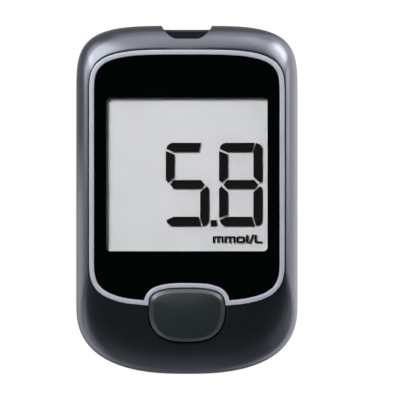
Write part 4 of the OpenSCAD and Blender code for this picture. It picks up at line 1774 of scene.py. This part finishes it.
@dataclass
class CoinCell:
    """Coin cell: steel can with a plus sign in its base, insulating ring and cap."""

    centre: Pair = (0, -14)
    around: int = 96
    can: tuple[Pair, ...] = ((0, 2.08), (8.7, 2.08), (9, 2), (9.55, 2), (9.87, 2.13), (10, 2.45),
                             (10, 4.6), (9.94, 4.82), (9.8, 4.9), (9.5, 4.8), (9.5, 4.31),
                             (0, 4.31))
    ring: tuple[Pair, ...] = ((9.49, 4.32), (9.49, 4.85), (9.4, 4.95), (9, 4.95), (8.91, 4.85),
                              (8.91, 4.32))
    cap: tuple[Pair, ...] = ((0, 4.32), (8.9, 4.32), (8.9, 4.95), (8.8, 5.08), (8.5, 5.15),
                             (7.8, 5.17), (7.5, 5.2), (0, 5.2))
    sign: tuple[Pair, ...] = ((2.0, 0.5), (0.5, 2.0))
    sign_r: float = 0.2
    sign_cut: Pair = (1, 2.13)

    def build(self) -> None:
        """Spins the three pieces and marks the can's pole."""
        can = Piece.spun(self.centre, self.can, self.around, name="coin_can")
        for size in self.sign:
            can.cut(Piece.prism(rounded(*size, self.sign_r, self.centre[Y]), *self.sign_cut))
        can.smooth(40).finish(Slot.CELL_STEEL, CELL_STEEL, "cell_can")
        ring = Piece.spun(self.centre, self.ring, self.around, True, "coin_ring")
        ring.smooth(40).finish(Slot.CELL_RING, CELL_RING, "cell_seal")
        cap = Piece.spun(self.centre, self.cap, self.around, name="coin_cap")
        cap.smooth(40).finish(Slot.CELL_STEEL, CELL_STEEL, "cell_cap")


@dataclass
class CaseScrews:
    """Four pan-head screws that hold the housings together."""

    plan: MeterPlan = PLAN
    head: tuple[Pair, ...] = ((0, 0.6), (1.369, 0.6), (1.628, 0.72), (1.7945, 1.2), (1.85, 1.88),
                              (1.77, 2.0))
    seat: float = 2.0
    head_low: float = 0.6
    shank_r: float = 1.0
    root_r: float = 0.8
    length: float = 8.0
    threads: int = 9
    thread_low: float = 0.3
    thread_end: float = 0.9
    tip: float = 0.8
    cross: tuple[Pair, ...] = ((0.95, 0.24), (0.24, 0.95))
    cross_depth: float = 0.7

    def profile(self) -> list[Pair]:
        """Half a screw, from the middle of its head to its tip.

        Returns:
            Radius and height of each corner.
        """
        end = self.seat + self.length
        corners = [*self.head, (self.root_r, self.seat)]
        pitch = (self.length - self.thread_low - self.thread_end) / self.threads
        for i in range(self.threads):
            foot = self.seat + self.thread_low + i * pitch
            corners += [(self.root_r, foot), (self.shank_r, foot + pitch / 2)]
        return corners + [(self.root_r, end - self.tip), (0, end)]

    def build(self) -> Piece:
        """Spins one screw, cuts its cross and copies it to the other three places.

        Returns:
            The four screws as one piece.
        """
        low, (x, y) = self.head_low, self.plan.screws[0]
        screw = Piece.spun((0, 0), self.profile(), 32, name="screw_set")
        for wide, long in self.cross:
            screw.cut(Piece.box((-wide, -long, low - 1), (wide, long, low + self.cross_depth)))
        screw.smooth().moved(x, y)
        screw.join(*(screw.copy().moved(px - x, py - y) for px, py in self.plan.screws[1:]))
        return screw.finish(Slot.SCREW_STEEL, SCREW_STEEL, "case_screws")


# ---------------------------------------------------------------- studio


def direction(azimuth: float, tilt: float) -> Points:
    """Unit vector at an azimuth from +X and a tilt from the zenith, in degrees."""
    a, t = math.radians(azimuth), math.radians(tilt)
    return np.array([math.sin(t) * math.cos(a), math.sin(t) * math.sin(a), math.cos(t)])


@dataclass(frozen=True)
class Softbox:
    """Square area light aimed at the meter, at an azimuth from +X and a tilt from the zenith.

    A mirrored box shows in gloss and lights nothing, and any other one does the reverse.
    """

    name: str
    azimuth: float
    tilt: float
    size: float
    radiance: float
    mirrored: bool = True
    distance: float = 330.0

    def build(self) -> None:
        """Places the light and sets its power from its radiance."""
        place = direction(self.azimuth, self.tilt) * self.distance * MM
        bpy.ops.object.light_add(type="AREA", location=place)
        lamp = bpy.context.object
        lamp.name = self.name
        lamp.rotation_euler = lamp.location.to_track_quat("Z", "Y").to_euler()
        lamp.data.shape = "SQUARE"
        lamp.data.size = self.size * MM
        lamp.data.energy = self.radiance * math.pi * (self.size * MM) ** 2
        lamp.visible_camera = False
        lamp.visible_glossy, lamp.visible_diffuse = self.mirrored, not self.mirrored


@dataclass
class Studio:
    """Camera straight above the display, softboxes, a white floor and a pale surround."""

    lens: float = 1000.0
    sensor: float = 36.0
    frame_width: float = 84.76
    focus_z: float = 14.2
    clip: Pair = (0.01, 20)
    centre: Pair = (2.79, -0.05)
    floor_size: float = 3000.0
    floor_low: float = 0.05
    floor_tone: Colour = (0.8, 0.8, 0.81)
    floor_drift: float = 400
    floor_spread: float = 1.02
    floor_glow: float = 1.02
    mirror_right: Pair = (0.42, 1.72)
    mirror_right_x: Pair = (24, 34)
    mirror_left: Pair = (1.07, 0)
    mirror_left_x: Pair = (-40, -27)
    mirror_low_y: Pair = (-2, 14)
    sky: tuple[Pair, ...] = ((0, 0.5), (0.3, 0.2), (0.7, 0.09), (0.97, 0.05), (1, 0.02))
    sky_tint: Colour = (0.92, 0.97, 1.12)
    boxes: tuple[Softbox, ...] = (
        Softbox("left_main", 130, 52, 230, 5.4),
        Softbox("left_wing", 150, 64, 130, 2.4),
        Softbox("left_low", 135, 80, 170, 1.6),
        Softbox("top_main", 90, 58, 170, 1.5),
        Softbox("top_right", 70, 68, 140, 1.7),
        Softbox("top_low", 90, 80, 170, 0.95),
        Softbox("right_main", 45, 62, 200, 4.0),
        Softbox("right_low", 45, 80, 170, 6.0),
        Softbox("side_left", 166, 75, 120, 3.2),
        Softbox("side_right", 10, 75, 120, 3.8),
        Softbox("foot_left", 205, 70, 120, 0.85),
        Softbox("foot_left_low", 225, 80, 170, 0.65),
        Softbox("foot_right", 315, 58, 160, 0.3),
        Softbox("foot_right_low", 335, 70, 120, 0.4),
        Softbox("foot", 262, 62, 200, 0.16),
        Softbox("overhead", 135, 19, 60, 84, mirrored=False),
    )
    clear_layers: int = 24

    def camera(self) -> None:
        """Adds the camera; +Y is up in its frame."""
        height = self.frame_width * self.lens / self.sensor + self.focus_z
        bpy.ops.object.camera_add(location=(self.centre[0] * MM, self.centre[1] * MM, height * MM),
                                  rotation=(0, 0, 0))
        camera = bpy.context.object
        camera.data.lens, camera.data.sensor_width = self.lens, self.sensor
        camera.data.clip_start, camera.data.clip_end = self.clip
        bpy.context.scene.camera = camera

    def floor(self) -> None:
        """Lays the floor: white to the eye, a soft light for what stands on it, clear from below.

        What mirrors it sees a tone of its own, brighter at the right and at the left foot.
        """
        bpy.ops.mesh.primitive_plane_add(size=self.floor_size * MM,
                                         location=(0, 0, -self.floor_low * MM))
        ground = bpy.context.object
        ground.name = "ground"
        sketch = Sketch("ground_paper")
        drift = sketch.span(sketch.noise(self.floor_drift), FULL, FULL)
        tone = sketch.blend(drift, self.floor_tone, shade(self.floor_tone, self.floor_spread))
        light = sketch.node("Emission", {"Color": tone}).outputs[0]
        glow = sketch.node("Emission", {"Color": (1, 1, 1), "Strength": self.floor_glow}).outputs[0]
        place = sketch.node("SeparateXYZ", {"Vector": sketch.place}).outputs
        right, left, low = (
            sketch.span(place[axis], tones, (start * MM, end * MM))
            for axis, tones, (start, end) in (("X", self.mirror_right, self.mirror_right_x),
                                              ("X", self.mirror_left, self.mirror_left_x),
                                              ("Y", (1, 0), self.mirror_low_y)))
        seen = sketch.node("Math", {0: left, 1: low, 2: right}, operation="MULTIPLY_ADD").outputs[0]
        mirrored = sketch.node("Emission", {"Strength": seen}).outputs[0]
        rays = sketch.node("LightPath").outputs
        lit = sketch.mix(rays["Is Glossy Ray"], light, mirrored)
        lit = sketch.mix(rays["Is Camera Ray"], lit, glow)
        clear = sketch.node("BsdfTransparent").outputs[0]
        back = sketch.node("NewGeometry").outputs["Backfacing"]
        ground.data.materials.append(sketch.close(sketch.mix(back, lit, clear)))

    def surround(self) -> None:
        """Pale surround whose brightness follows the height of the direction above the floor."""
        world = bpy.data.worlds.new("surround")
        bpy.context.scene.world = world
        world.use_nodes = True
        tree = world.node_tree
        place = tree.nodes.new("ShaderNodeTexCoord").outputs["Generated"]
        parts = tree.nodes.new("ShaderNodeSeparateXYZ")
        tree.links.new(place, parts.inputs[0])
        ramp = tree.nodes.new("ShaderNodeValToRGB")
        tree.links.new(parts.outputs["Z"], ramp.inputs[0])
        stops = ramp.color_ramp.elements
        while len(stops) < len(self.sky):
            stops.new(0.5)
        for stop, (height, tone) in zip(stops, self.sky):
            stop.position = height
            stop.color = (*shade(self.sky_tint, tone), 1)
        tree.links.new(ramp.outputs["Color"], tree.nodes["Background"].inputs["Color"])

    def build(self) -> None:
        """Makes the whole studio."""
        self.camera()
        self.floor()
        self.surround()
        for box in self.boxes:
            box.build()
        scene = bpy.context.scene
        scene.view_settings.view_transform = "Standard"
        scene.cycles.transparent_max_bounces = self.clear_layers


def dress_nodes() -> None:
    """Gives each CAD node that stays in sight a finish of its own."""
    for node, finish in KEPT_NODES.items():
        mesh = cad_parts[node].data
        mesh.materials.clear()
        mesh.materials.append(finish.material())
        log.info("%s: kept as it is, finish %s", node, finish.name)


def main() -> None:
    """Builds the meter and the studio."""
    logging.basicConfig(level=logging.INFO, format="%(name)s: %(message)s")
    for part in (FrontHousing(), LensSet(), DisplayStack(), MainKey(), RearCase(), StripPort(),
                 CoinCell(), CaseScrews(), Studio()):
        part.build()
        log.info("%s done", type(part).__name__)
    dress_nodes()


if __name__ == "__main__":
    main()
